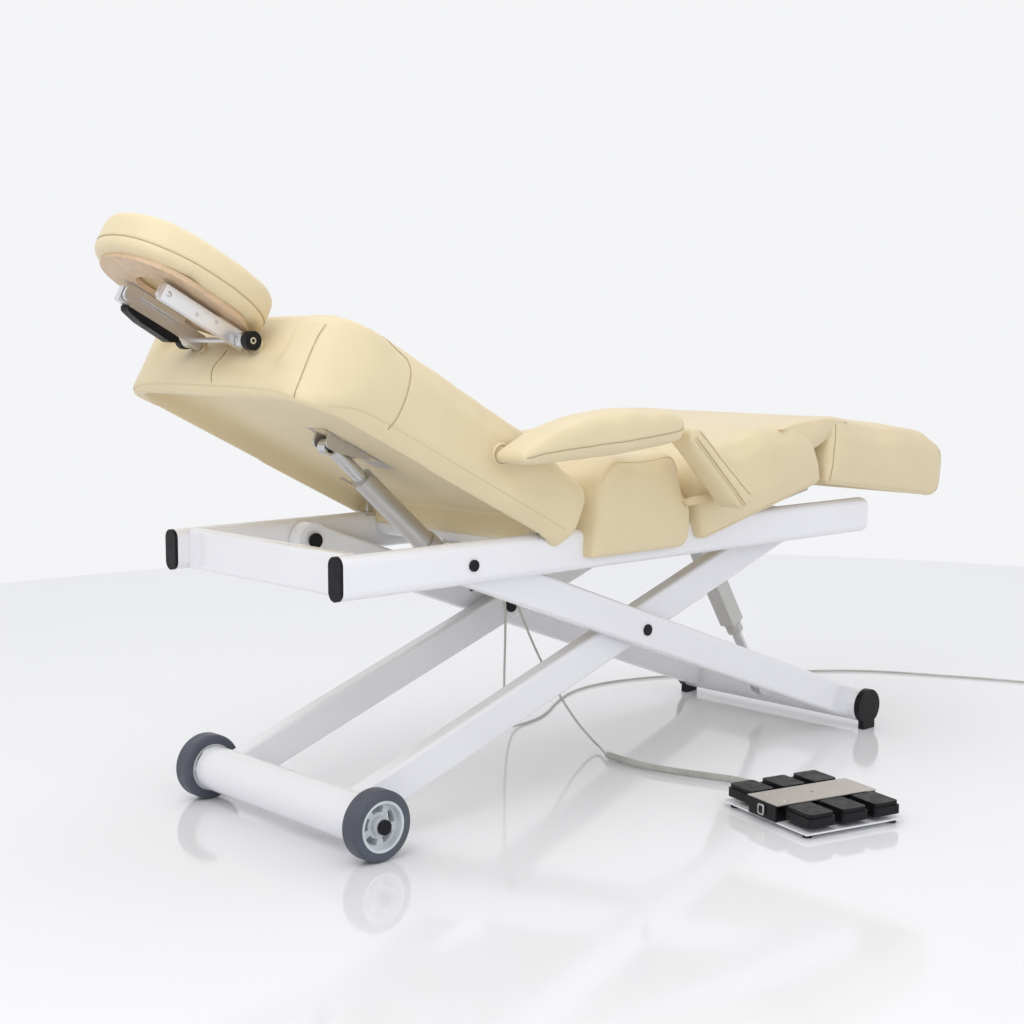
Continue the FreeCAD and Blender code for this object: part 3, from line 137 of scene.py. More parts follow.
# ------------------------------------------------------------------ materials
class Surface:
    """A procedural material in the making."""

    def __init__(self, name, color, roughness, metallic=0.0, **sockets):
        self.material = bpy.data.materials.new(name)
        self.material.use_nodes = True
        self.nodes, self.links = self.material.node_tree.nodes, self.material.node_tree.links
        self.shader = self.nodes["Principled BSDF"]
        self.color, self.roughness = color, roughness
        self.set("Metallic", metallic)
        for socket, value in sockets.items():
            self.set(socket.replace("_", " "), value)
        self.place = self.nodes.new("ShaderNodeTexCoord").outputs["Object"]
        self.height = None

    def set(self, socket, value):
        self.shader.inputs[socket].default_value = value

    def stretched(self, scale):
        mapping = self.nodes.new("ShaderNodeMapping")
        mapping.inputs["Scale"].default_value = scale
        self.links.new(self.place, mapping.inputs["Vector"])
        return mapping.outputs[0]

    def noise(self, scale, detail=3.0, stretch=None, distortion=0.0):
        node = self.nodes.new("ShaderNodeTexNoise")
        node.inputs["Scale"].default_value = scale
        node.inputs["Detail"].default_value = detail
        node.inputs["Distortion"].default_value = distortion
        self.links.new(self.stretched(stretch) if stretch else self.place, node.inputs["Vector"])
        return node.outputs["Fac"]

    def cells(self, scale):
        node = self.nodes.new("ShaderNodeTexVoronoi")
        node.inputs["Scale"].default_value = scale
        self.links.new(self.place, node.inputs["Vector"])
        return node.outputs["Distance"]

    def spread(self, value, low, high):
        node = self.nodes.new("ShaderNodeMapRange")
        node.inputs["From Min"].default_value, node.inputs["From Max"].default_value = 0.3, 0.7
        node.inputs["To Min"].default_value, node.inputs["To Max"].default_value = low, high
        self.links.new(value, node.inputs["Value"])
        return node.outputs[0]

    def tint(self, value, dark, light):
        """Base colour from dark to light, as value goes over its middle range."""
        node = self.nodes.new("ShaderNodeMix")
        node.data_type = "RGBA"
        self.links.new(self.spread(value, 0, 1), node.inputs["Factor"])
        node.inputs["A"].default_value = (*[channel * dark for channel in self.color], 1)
        node.inputs["B"].default_value = (*[min(1, channel * light) for channel in self.color], 1)
        self.links.new(node.outputs["Result"], self.shader.inputs["Base Color"])
        return self

    def polish(self, value, amount):
        """Roughness varies by amount either side of its middle."""
        self.links.new(self.spread(value, self.roughness - amount, self.roughness + amount),
            self.shader.inputs["Roughness"])
        return self

    def bump(self, value, distance, strength=1.0):
        node = self.nodes.new("ShaderNodeBump")
        node.inputs["Distance"].default_value, node.inputs["Strength"].default_value = distance, strength
        self.links.new(value, node.inputs["Height"])
        if self.height:
            self.links.new(self.height, node.inputs["Normal"])
        self.height = node.outputs[0]
        self.links.new(self.height, self.shader.inputs["Normal"])
        return self


def vinyl(name, color, roughness, coat):
    """Smooth upholstery vinyl: fine pores, faint creasing and slow shade changes."""
    s = Surface(name, color, roughness, Coat_Weight=coat, Coat_Roughness=0.35, Sheen_Weight=0.06)
    s.tint(s.noise(7, 4), 0.965, 1.025).polish(s.noise(90, 4), 0.05)
    s.bump(s.noise(9, 2), 0.0028, 0.35).bump(s.cells(950), 0.00012, 0.5).bump(s.noise(420, 3), 0.0001, 0.5)
    return s.material


def powder_coat(name, color):
    """Glossy powder coat with orange peel and slight dust marks."""
    s = Surface(name, color, 0.26, Coat_Weight=0.5, Coat_Roughness=0.12)
    s.tint(s.noise(1.3, 2), 0.992, 1.0).polish(s.noise(5, 2), 0.01)
    s.bump(s.noise(420, 2), 0.00002, 0.15)
    return s.material


def metal(name, color, roughness, stretch, grain=0.00004):
    """Drawn or brushed metal with its grain along one direction."""
    s = Surface(name, color, roughness, metallic=0.85)
    s.tint(s.noise(4, 2), 0.97, 1.02).polish(s.noise(30, 2, stretch), 0.025)
    s.bump(s.noise(900, 2, stretch), grain, 0.2)
    return s.material


def plastic(name, color, roughness, grain, shine=0.5):
    """Moulded plastic or rubber with a spark-eroded grain and scuffs."""
    s = Surface(name, color, roughness, Specular_IOR_Level=shine)
    s.tint(s.noise(14, 5), 0.88, 1.1).polish(s.noise(60, 6), 0.08)
    s.bump(s.noise(grain, 2), 0.00009, 0.6)
    return s.material


def plywood(name, color):
    """Birch face veneer with long soft figure."""
    s = Surface(name, color, 0.42, Coat_Weight=0.15)
    s.tint(s.noise(16, 6, (0.5, 5, 5), 1.2), 0.86, 1.08).polish(s.noise(50, 4), 0.06)
    s.bump(s.noise(60, 6, (0.6, 9, 9)), 0.00015, 0.5)
    return s.material


MATERIALS = {
    "cream_upholstery": vinyl("cream_vinyl", (0.775, 0.655, 0.42), 0.47, 0.08),
    "tan_lining": vinyl("tan_lining_vinyl", (0.76, 0.63, 0.4), 0.52, 0.05),
    "white_powder_coat": powder_coat("white_powder", (0.88, 0.885, 0.915)),
    "zinc_steel": metal("zinc_plate", (0.62, 0.61, 0.6), 0.36, (1, 1, 1)),
    "satin_steel": metal("satin_chrome", (0.66, 0.66, 0.66), 0.24, (8, 1, 8)),
    "satin_aluminium": metal("satin_anodised", (0.5, 0.495, 0.485), 0.38, (1, 1, 1)),
    "brushed_plate": metal("brushed_cover", (0.6, 0.56, 0.52), 0.42, (10, 1, 1)),
    "black_plastic": plastic("black_moulded", (0.007, 0.007, 0.009), 0.42, 1400, 0.22),
    "black_rubber": plastic("black_tread", (0.009, 0.009, 0.011), 0.5, 900, 0.2),
    "grey_tyre": plastic("grey_rubber", (0.09, 0.1, 0.125), 0.5, 1100, 0.3),
    "pale_plastic": plastic("pale_moulded", (0.62, 0.66, 0.68), 0.36, 1500),
    "birch_ply": plywood("birch_face", (0.66, 0.475, 0.3)),
    "grey_cable": plastic("grey_sheath", (0.55, 0.55, 0.51), 0.45, 1600),
    "grey_plug": plastic("grey_moulding", (0.5, 0.5, 0.47), 0.4, 1500),
}
THREAD = Surface("seam_thread", (0.47, 0.37, 0.23), 0.6)
THREAD.tint(THREAD.noise(900, 2), 0.8, 1.1).bump(THREAD.noise(1500, 2), 0.0001)
ANODISED = metal("grey_anodised", (0.6, 0.59, 0.57), 0.42, (1, 1, 1))
BRIGHT = metal("bright_aluminium", (0.78, 0.78, 0.79), 0.3, (1, 6, 6))

for node_name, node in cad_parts.items():
    for index, old in enumerate(node.data.materials):
        node.data.materials[index] = MATERIALS[old.name.split(".")[0]]
for grey in ("back_tube", "lift_housing", "leg_tube"):
    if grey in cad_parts:
        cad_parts[grey].data.materials[0] = ANODISED
for light in ("headrest_arms", "headrest_links"):
    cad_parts[light].data.materials[0] = BRIGHT
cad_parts["armrest_posts"].data.materials[0] = MATERIALS["tan_lining"]


# ------------------------------------------------------------------ mesh helpers
def mesh_object(name, vertices, faces, material, smooth=True):
    mesh = bpy.data.meshes.new(name)
    mesh.from_pydata([tuple(v) for v in vertices], [], faces)
    mesh.validate()
    mesh.materials.append(material)
    for polygon in mesh.polygons:
        polygon.use_smooth = smooth
    obj = bpy.data.objects.new(name, mesh)
    SCENE.collection.objects.link(obj)
    return obj


def spaced(points, step):
    """The polyline's points again, step apart."""
    lengths = [0.0]
    for a, b in zip(points, points[1:]):
        lengths.append(lengths[-1] + (b - a).length)
    count = max(2, round(lengths[-1] / step))
    result, k = [], 0
    for i in range(count + 1):
        goal = lengths[-1] * i / count
        while k < len(lengths) - 2 and lengths[k + 1] < goal:
            k += 1
        span = max(1e-9, lengths[k + 1] - lengths[k])
        result.append(points[k].lerp(points[k + 1], min(1, max(0, (goal - lengths[k]) / span))))
    return result


def travelling_frames(points):
    """Two directions across the line at each point, which don't twist along it."""
    tangents = []
    for i in range(len(points)):
        tangents.append((points[min(i + 1, len(points) - 1)] - points[max(i - 1, 0)]).normalized())
    side = tangents[0].orthogonal().normalized()
    frames = []
    for tangent in tangents:
        side = (side - tangent * side.dot(tangent)).normalized()
        frames.append((side, tangent.cross(side)))
    return frames


def tube(name, points, radii, material, sides=12, closed=False):
    """A round tube along the points; radii is one radius or one for each point."""
    if not hasattr(radii, "__len__"):
        radii = [radii] * len(points)
    vertices, faces = [], []
    for point, radius, (u, v) in zip(points, radii, travelling_frames(points)):
        for k in range(sides):
            angle = 2 * math.pi * k / sides
            vertices.append(point + (u * math.cos(angle) + v * math.sin(angle)) * radius)
    rings = len(points) if closed else len(points) - 1
    for i in range(rings):
        for k in range(sides):
            a, b = i * sides, (i + 1) % len(points) * sides
            faces.append((a + k, a + (k + 1) % sides, b + (k + 1) % sides, b + k))
    if not closed:
        faces.append(tuple(reversed(range(sides))))
        faces.append(tuple(range((len(points) - 1) * sides, len(points) * sides)))
    return mesh_object(name, vertices, faces, material)


# ------------------------------------------------------------------ cords
SWITCH_ROUTE = [
    (754, 144.6, 394), (754.5, 134, 392.5), (757, 124, 386), (761, 118, 374), (768, 114, 354),
    (781, 110, 322), (803, 104, 268), (832, 96, 205), (864, 84, 142), (893, 68, 86), (917, 47, 42),
    (928, 22, 16), (920, -6, 9), (902, -32, 9), (886, -58, 9),
]
CURL_ROUTE = [
    (886, -58, 9), (878, -110, 9), (876, -168, 9), (884, -230, 9), (902, -290, 9), (922, -344, 9),
    (936, -394, 9), (935, -438, 9.5), (921, -466, 13), (911.2, -494.6, 14.2),
]
MAINS_ROUTE = [
    (738, 144.6, 394), (738, 134, 392.5), (739, 125, 386), (741, 120, 374), (744, 119, 354),
    (749, 122, 322), (757, 131, 266), (769, 147, 200), (790, 172, 132), (820, 202, 76), (860, 238, 34),
    (905, 272, 9), (945, 292, 2.7), (992, 300, 2.7), (1046, 318, 2.7), (1104, 352, 2.7), (1160, 392, 2.7),
    (1220, 430, 2.7), (1290, 466, 2.7), (1366, 486, 2.7), (1444, 488, 2.7), (1520, 474, 2.7),
    (1596, 448, 2.7), (1668, 410, 2.7), (1738, 362, 2.7), (1806, 312, 2.7), (1874, 268, 2.7),
    (1944, 228, 2.7), (2010, 184, 2.7), (2068, 130, 2.7), (2116, 66, 2.7), (2154, -4, 2.7),
    (2190, -76, 2.7), (2226, -146, 2.7), (2258, -218, 2.7), (2288, -290, 2.7), (2316, -352, 2.7),
    (2326, -391, 2.7),
]
COIL_CENTRE = (2298, -405)
LEAD_RADIUS = 2.6 * MM


def route_points(name, route):
    """Points along the smooth curve that the route's control points make."""
    curve = bpy.data.curves.new(name, "CURVE")
    curve.dimensions = "3D"
    curve.resolution_u = 10
    spline = curve.splines.new("NURBS")
    spline.points.add(len(route) - 1)
    for control, place in zip(spline.points, route):
        control.co = (*at(*place), 1)
    spline.order_u = 3
    spline.use_endpoint_u = True
    holder = bpy.data.objects.new(name, curve)
    SCENE.collection.objects.link(holder)
    points = [v.co.copy() for v in bpy.data.meshes.new_from_object(holder).vertices]
    bpy.data.objects.remove(holder)
    return points


def coil_turns(turns, steps):
    """Neat turns lying two abreast and two deep, after the lead's end."""
    points = []
    for i in range(1, turns * steps + 1):
        done = i / steps
        layer, place = divmod(min(done, turns - 0.01), 2)
        spread = abs(place - 1) if layer else 1 - abs(place - 1)
        radius = 33.6 - 5.2 * spread
        angle = math.radians(12) - 2 * math.pi * done
        height = 2.7 + 5.2 * min(1, max(0, (done - turns / 2 + 0.5) * 1.4))
        x, y = COIL_CENTRE[0] + radius * math.cos(angle), COIL_CENTRE[1] + radius * math.sin(angle)
        points.append((x, y, height))
    return points


def lead(name, route, node_names):
    """A sheathed lead from the arm's gland to the floor."""
    path = route_points(name + "_line", route)
    obj = tube(name, path, LEAD_RADIUS, MATERIALS["grey_cable"])
    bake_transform(obj)
    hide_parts(*node_names)
    return obj


def curly_lead():
    """The tightly wound part of the switch's lead."""
    line = route_points("curl_line", CURL_ROUTE)
    wire, middle, pitch, steps = 1.7 * MM, 6.3 * MM, 4.1 * MM, 14
    fine = spaced(line, pitch / steps)
    points = []
    for i, (point, (u, v)) in enumerate(zip(fine, travelling_frames(fine))):
        ends = min(1, i / (1.5 * steps), (len(fine) - 1 - i) / (1.5 * steps))
        angle = 2 * math.pi * i / steps
        points.append(point + (u * math.cos(angle) + v * math.sin(angle)) * middle * ends)
    obj = tube("curly_lead", points, wire, MATERIALS["grey_cable"], sides=7)
    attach(obj, "base")
    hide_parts("switch_curl")
    return obj


def strain_relief(name, path, body, reach=30 * MM):
    """A tapered ribbed sleeve over the first stretch of a lead."""
    line = [p for p in spaced(path, 1.5 * MM)][: round(reach / (1.5 * MM))]
    radii = []
    for i in range(len(line)):
        done = i / (len(line) - 1)
        rib = 0.35 * MM if i % 4 < 2 else 0
        radii.append((4.8 - 1.6 * done) * MM + rib)
    sleeve = tube(name, line, radii, MATERIALS["grey_cable"], sides=16)
    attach(sleeve, body)


strain_relief("switch_strain_relief", route_points("a", SWITCH_ROUTE), "outer_arms")
strain_relief("power_strain_relief", route_points("b", MAINS_ROUTE), "outer_arms")
lead("foot_switch_lead", SWITCH_ROUTE, ["switch_lead"])
lead("power_lead", MAINS_ROUTE + coil_turns(4, 12), ["mains_lead", "mains_coil"])
curly_lead()


# ------------------------------------------------------------------ upholstery
SEED_STEP = 6 * MM


class Place:
    """A section's own axes: its side profile turns about +Y at a pivot."""

    def __init__(self, x, z, degrees, y=0):
        self.x, self.y, self.z, self.angle = x, y, z, math.radians(degrees)

    def out(self, x, y, z):
        """From the section's millimetres to the row frame."""
        c, s = math.cos(self.angle), math.sin(self.angle)
        return at(self.x + x * c + z * s, self.y + y, self.z - x * s + z * c)

    def back(self, point):
        """From the row frame to the section's millimetres."""
        p = (point - BED_ORIGIN) / MM
        c, s = math.cos(self.angle), math.sin(self.angle)
        dx, dz = p.x - self.x, p.z - self.z
        return Vector((dx * c - dz * s, p.y - self.y, dx * s + dz * c))


def rounded(corners, steps=6):
    """A closed outline whose corners (u, v, radius) are arcs."""
    points, n = [], len(corners)
    for i in range(n):
        before, here, after = (Vector(corners[(i + k) % n][:2]) for k in (-1, 0, 1))
        radius = corners[i][2] if len(corners[i]) > 2 else 0
        a, b = (before - here).normalized(), (after - here).normalized()
        half = math.acos(max(-1, min(1, a.dot(b)))) / 2
        if radius <= 0 or half > 1.55:
            points.append(here)
            continue
        reach = min(radius / math.tan(half), (before - here).length * 0.49, (after - here).length * 0.49)
        start, end = here + a * reach, here + b * reach
        for k in range(steps + 1):
            t = k / steps
            points.append(start * (1 - t) ** 2 + here * (2 * t * (1 - t)) + end * t * t)
    return points


def prism(name, outline, low, high, axis, place):
    """The outline swept from low to high, along y for a side profile or along z for a plan."""
    vertices = []
    for level in (low, high):
        for u, v in outline:
            vertices.append(place.out(u, level, v) if axis == "y" else place.out(u, v, level))
    n = len(outline)
    faces = [tuple(range(n)), tuple(range(n, 2 * n))]
    faces += [(i, (i + 1) % n, n + (i + 1) % n, n + i) for i in range(n)]
    return outward(mesh_object(name, vertices, faces, MATERIALS["cream_upholstery"]))


def outward(obj):
    """Turns every face outward."""
    edit = bmesh.new()
    edit.from_mesh(obj.data)
    bmesh.ops.recalc_face_normals(edit, faces=edit.faces)
    edit.to_mesh(obj.data)
    edit.free()
    return obj


def baked(obj):
    """Applies the object's modifiers."""
    evaluated = obj.evaluated_get(bpy.context.evaluated_depsgraph_get())
    mesh = bpy.data.meshes.new_from_object(evaluated)
    obj.modifiers.clear()
    obj.data = mesh
    return obj


def combined(obj, other, operation):
    modifier = obj.modifiers.new("with", "BOOLEAN")
    modifier.operation, modifier.object, modifier.solver = operation, other, "EXACT"
    baked(obj)
    bpy.data.objects.remove(other)
    return obj


def remeshed(obj, voxel):
    modifier = obj.modifiers.new("voxels", "REMESH")
    modifier.mode, modifier.voxel_size = "VOXEL", voxel
    return baked(obj)


def softened(obj, rounds):
    modifier = obj.modifiers.new("soft", "SMOOTH")
    modifier.factor, modifier.iterations = 0.5, rounds
    return baked(obj)


def swollen(obj, cap, hold=None, pressure=4.0):
    """Cloth under pressure fills the cover; no point moves further than cap."""
    start = [v.co.copy() for v in obj.data.vertices]
    modifier = obj.modifiers.new("cover", "CLOTH")
    modifier.settings.quality = 4
    modifier.settings.mass = 0.3
    modifier.settings.use_pressure = True
    modifier.settings.uniform_pressure_force = pressure
    modifier.settings.tension_stiffness = modifier.settings.compression_stiffness = 12
    modifier.settings.effector_weights.gravity = 0
    modifier.point_cache.frame_start, modifier.point_cache.frame_end = 1, 20
    for step in range(1, 21):
        SCENE.frame_set(step)
    baked(obj)
    SCENE.frame_set(1)
    for vertex, first in zip(obj.data.vertices, start):
        move = vertex.co - first
        limit = cap * (1 if hold is None else hold(first))
        if move.length > limit:
            move *= limit / max(1e-9, move.length)
        vertex.co = first + move
    return softened(obj, 22)


def refined(obj, levels=1):
    modifier = obj.modifiers.new("fine", "SUBSURF")
    modifier.levels = modifier.render_levels = levels
    baked(obj)
    for polygon in obj.data.polygons:
        polygon.use_smooth = True
    return obj


def stitched(obj, name, line, closed=False, depth=1.6 * MM, width=5 * MM, thread=0.75 * MM, proud=0.3,
             material=None):
    """Presses a seam along the line into the cover and lays its thread there."""
    tree = BVHTree.FromObject(obj, bpy.context.evaluated_depsgraph_get())
    found = []
    for point in spaced(line + line[:1] if closed else line, 4 * MM):
        place, normal, _, _ = tree.find_nearest(point)
        found.append((place, normal))
    nearest = KDTree(len(found))
    for i, (place, _) in enumerate(found):
        nearest.insert(place, i)
    nearest.balance()
    for vertex in obj.data.vertices:
        place, index, distance = nearest.find(vertex.co)
        if distance < 2.5 * width:
            vertex.co -= found[index][1] * depth * math.exp(-((distance / (0.55 * width)) ** 2))
    thread_line = [place - normal * (depth - thread * (1 + proud)) for place, normal in found]
    if closed:
        thread_line = thread_line[:-1]
    cord = tube(name, thread_line, thread, material or THREAD.material, sides=6, closed=closed)
    return cord


def finished(obj, body, nodes):
    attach(obj, body)
    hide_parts(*nodes)
    return obj


def riding(obj, body):
    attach(obj, body)
    return obj


BACK = Place(508, 521, 27.05)
SEAT = Place(0, 0, 0)
LEG = Place(909, 505, -13.6)
FOOT = Place(1322, 598, 7.5)
HALF = 320
RECESS = 291

BACK_PROFILE = [
    (0, 0, 14), (15, 43, 30), (15, 107, 12), (-2, 127, 16), (-101, 152, 60), (-167, 164, 0),
    (-420, 171, 0), (-686, 168, 58), (-686, 12, 14), (-664, 0, 10),
]
SEAT_PROFILE = [
    (581, 498), (849, 498, 6), (862, 503, 6), (871, 522, 10), (874, 575, 30), (853, 612, 40),
    (838, 655, 30), (815, 690, 20), (640, 690, 30), (598, 655, 30), (592, 600, 10),
]
LEG_PROFILE = [
    (0, 0, 8), (414, 0, 10), (416, 42, 20), (404, 100, 50), (350, 150, 40), (240, 173, 60), (86, 180, 60),
    (18, 166, 20), (0, 120, 20),
]
FOOT_PROFILE = [
    (0, 0, 6), (430, 0, 14), (456, 12, 24), (477, 60, 30), (452, 116, 40), (368, 149, 60), (254, 153, 30),
    (-4, 148, 4),
]


BOX_FACES = [(0, 1, 2, 3), (4, 5, 6, 7), (0, 1, 5, 4), (1, 2, 6, 5), (2, 3, 7, 6), (3, 0, 4, 7)]
SIDE_WORDS = ((-1, "near"), (1, "far"))


def foam(name, profile, place, recess_box, plan=None, rounds=7, inset=3.0, extra=None):
    """A section's foam with its hollow underside, ready to swell."""
    obj = prism(name, rounded(profile), -HALF + inset, HALF - inset, "y", place)
    if plan:
        obj = combined(obj, prism(name + "_plan", rounded(plan, 10), -60, 260, "z", place), "INTERSECT")
    low_x, high_x, top = recess_box
    hollow = [(low_x, -RECESS), (high_x, -RECESS), (high_x, RECESS), (low_x, RECESS)]
    if plan and place is BACK:
        hollow = rounded([(low_x, -RECESS, 96), (high_x, -RECESS), (high_x, RECESS), (low_x, RECESS, 96)], 8)
    if place is SEAT:
        cutter = prism(name + "_hollow", hollow, 440, top, "z", place)
    else:
        cutter = prism(name + "_hollow", hollow, -60, top, "z", place)
    obj = combined(obj, cutter, "DIFFERENCE")
    if extra:
        obj = extra(obj)
    return softened(remeshed(obj, SEED_STEP), rounds)


def outside_only(place, base, top):
    """How freely a cover moves: not at all in its hollow and at its lower edge, fully above."""

    def share(point):
        height = place.back(point).z - base
        return max(0.0, min(1.0, height / top))

    return share


SCOOP = [
    (-720, 26), (-686, 28, 14), (-672, 70, 40), (-656, 98, 40), (-634, 132, 40), (-611, 168, 12),
    (-602, 300), (-720, 300),
]
NECK_ROLL = [(-606, 140), (-609, 178, 10), (-598, 197, 14), (-560, 201, 30), (-498, 164), (-498, 140)]
ROLL_END_SEAM = [(-640, 150), (-633, 172), (-612, 193), (-580, 203), (-548, 200), (-512, 184), (-490, 168)]
WING_SEAM = [
    (-668, 264, 4), (-670, 264, 45), (-668, 262, 90), (-656, 258, 128), (-630, 256, 156),
    (-605, 272, 168), (-575, 296, 170), (-540, 314, 166), (-508, 326, 160), (-494, 330, 110),
    (-492, 330, 70), (-497, 326, 22),
]


def back_rest():
    plan = [(-686, -HALF, 128), (60, -HALF), (60, HALF), (-686, HALF, 128)]
    obj = foam("back_rest", BACK_PROFILE, BACK, (-657, -29, 56), plan, extra=back_cuts, rounds=9)
    refined(swollen(obj, 7 * MM, outside_only(BACK, 4, 40)))
    for side, word in SIDE_WORDS:
        arc = [BACK.out(x, side * y, z) for x, y, z in WING_SEAM]
        riding(stitched(obj, f"back_wing_seam_{word}", smooth_line(arc)), "back")
        rim = [
            (-690, 0, 10), (-690, 130, 10), (-672, 236, 12), (-606, 300, 22), (-530, 326, 31),
            (-300, 328, 32), (-20, 328, 32),
        ]
        line = smooth_line([BACK.out(x, side * y, z) for x, y, z in rim])
        riding(stitched(obj, f"back_rim_seam_{word}", line, depth=0.7 * MM, thread=0.5 * MM,
            material=MATERIALS["cream_upholstery"]), "back")
    for side, word in SIDE_WORDS:
        edge = [BACK.out(x + 8, side * 189, z) for x, z in ROLL_END_SEAM]
        riding(stitched(obj, f"neck_roll_seam_{word}", smooth_line(edge)), "back")
    middle = [BACK.out(-690, y, z) for y, z in ((-2, 106), (-10, 84), (-8, 52), (-22, 20))]
    riding(stitched(obj, "back_middle_seam", smooth_line(middle)), "back")
    finished(obj, "back", ["back_cushion"])


def back_cuts(obj):
    """The dip at the head end that the ring nests in, and the bevels under the sides."""
    dip = [(u, v) for u, v in rounded(SCOOP)]
    obj = combined(obj, prism("dip", dip, -198, 198, "y", BACK), "DIFFERENCE")
    obj = combined(obj, prism("neck_roll", rounded(NECK_ROLL), -184, 184, "y", BACK), "UNION")
    for side in (-1, 1):
        across = [(side * 288, -6), (side * 340, -6), (side * 340, 34), (side * 320, 34)]
        ends = [BACK.out(x, y, z) for x in (-760, 60) for y, z in across]
        bevel = mesh_object("bevel", ends, BOX_FACES, MATERIALS["cream_upholstery"])
        outward(bevel)
        obj = combined(obj, bevel, "DIFFERENCE")
    return obj


def smooth_line(points, steps=8):
    """A Catmull-Rom line through the points."""
    ends = [points[0] * 2 - points[1]] + points + [points[-1] * 2 - points[-2]]
    line = []
    for i in range(1, len(ends) - 2):
        a, b, c, d = ends[i - 1 : i + 3]
        for k in range(steps):
            t = k / steps
            slope, bend, twist = c - a, a * 2 - b * 5 + c * 4 - d, b * 3 - a - c * 3 + d
            line.append((b * 2 + slope * t + bend * t**2 + twist * t**3) / 2)
    return line + [points[-1]]


def seat():
    obj = foam("seat_pad", SEAT_PROFILE, SEAT, (612, 846, 560))
    refined(swollen(obj, 7 * MM, outside_only(SEAT, 505, 50)))
    for side in (-1, 1):
        word = "near" if side < 0 else "far"
        corners = ((603, 650), (640, 684), (720, 689), (806, 688), (832, 655))
        edge = [SEAT.out(x, side * (HALF - 4), z) for x, z in corners]
        soft = stitched(obj, f"seat_top_seam_{word}", smooth_line(edge), depth=0.5 * MM,
            material=MATERIALS["cream_upholstery"])
        riding(soft, "frame")
    finished(obj, "frame", ["seat_cushion"])


def leg_rest():
    obj = foam("leg_rest", LEG_PROFILE, LEG, (29, 387, 60))
    refined(swollen(obj, 7 * MM, outside_only(LEG, 4, 40)))
    for side in (-1, 1):
        word = "near" if side < 0 else "far"
        rim = [LEG.out(x, side * 322, 4) for x in (4, 130, 280, 410)]
        riding(stitched(obj, f"leg_rim_seam_{word}", rim, depth=0.7 * MM, thread=0.5 * MM,
            material=MATERIALS["cream_upholstery"]), "leg")
    finished(obj, "leg", ["leg_cushion"])


def foot_rest():
    plan = [(-30, -HALF), (480, -HALF, 60), (480, HALF, 60), (-30, HALF)]
    obj = foam("foot_rest", FOOT_PROFILE, FOOT, (29, 421, 60), plan)
    refined(swollen(obj, 7 * MM, outside_only(FOOT, 4, 40)))
    for side in (-1, 1):
        word = "near" if side < 0 else "far"
        front = [FOOT.out(x, side * 325, z) for x, z in ((12, 146), (13, 100), (13, 50), (11, 4))]
        riding(stitched(obj, f"foot_front_seam_{word}", smooth_line(front)), "foot")
        end = [FOOT.out(x, side * 325, z) for x, z in ((440, 120), (456, 96), (463, 62), (456, 26), (446, 6))]
        riding(stitched(obj, f"foot_end_seam_{word}", smooth_line(end)), "foot")
        rim = [FOOT.out(x, side * 322, 4) for x in (4, 130, 280, 420)]
        riding(stitched(obj, f"foot_rim_seam_{word}", rim, depth=0.7 * MM, thread=0.5 * MM,
            material=MATERIALS["cream_upholstery"]), "foot")
    finished(obj, "foot", ["foot_cushion"])


def knee_flap():
    """The cover that runs on from the leg section over the gap to the foot section."""
    top = [LEG.out(x, 0, z) for x, z in ((300, 161), (350, 158), (390, 152))]
    top += [at(1331, 0, 748.5), FOOT.out(26, 0, 150.5), FOOT.out(60, 0, 151)]
    line = spaced(smooth_line(top), 6 * MM)
    half, thick = (HALF - 6) * MM, 9 * MM
    across = [-1, -0.985, -0.96] + [k / 20 for k in range(-19, 20)] + [0.96, 0.985, 1]
    vertices, faces = [], []
    for row, point in enumerate(line):
        ends = math.sin(math.pi * row / (len(line) - 1)) ** 0.3
        for sign in (1, -1):
            for y in across:
                edge = max(0.0, 1 - abs(y)) * half
                swell = min(1.0, math.sqrt(max(0.0, edge / (6 * MM))))
                lift = (0.5 if sign > 0 else -0.5) * thick * swell * ends
                wedge = 0 if sign > 0 else 58 * MM * swell * math.sin(math.pi * row / (len(line) - 1)) ** 1.3
                vertices.append(Vector((point.x, BED_ORIGIN.y + y * half, point.z - 5 * MM + lift - wedge)))
    n = len(across)
    for row in range(len(line) - 1):
        for layer in (0, 1):
            for k in range(n - 1):
                a = row * 2 * n + layer * n + k
                quad = (a, a + 1, a + 2 * n + 1, a + 2 * n)
                faces.append(quad if layer == 0 else tuple(reversed(quad)))
    obj = mesh_object("knee_flap", vertices, faces, MATERIALS["cream_upholstery"])
    edit = bmesh.new()
    edit.from_mesh(obj.data)
    bmesh.ops.remove_doubles(edit, verts=edit.verts, dist=0.0003)
    bmesh.ops.recalc_face_normals(edit, faces=edit.faces)
    edit.to_mesh(obj.data)
    edit.free()
    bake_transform(obj)


PAD_PROFILE = [
    (301, 704, 10), (560, 712, 30), (722, 728, 8), (740, 770, 20), (690, 786, 60), (573, 792, 80),
    (466, 784, 60), (380, 762, 40), (297, 722, 12),
]
STRUT_PROFILE = [(-14, -12, 10), (218, -27, 18), (228, 22, 14), (4, 27, 16), (-20, 12, 10)]


def arm_pad(side, word):
    y = side * 380
    place = Place(0, 0, 0, y)
    obj = prism(f"{word}_arm_cushion", rounded(PAD_PROFILE), -42, 42, "y", place)
    softened(remeshed(obj, 5 * MM), 9)
    refined(swollen(obj, 5 * MM))
    lower = ((306, 714), (400, 724), (500, 730), (620, 738), (700, 746), (726, 752))
    for face in (-1, 1):
        line = [place.out(x, face * 50, z) for x, z in lower]
        edge = "outer" if face == side else "inner"
        seam = stitched(obj, f"{word}_arm_seam_{edge}", smooth_line(line))
        riding(seam, f"{word}_arm_pad")
    finished(obj, f"{word}_arm_pad", [f"{word}_arm_pad"])


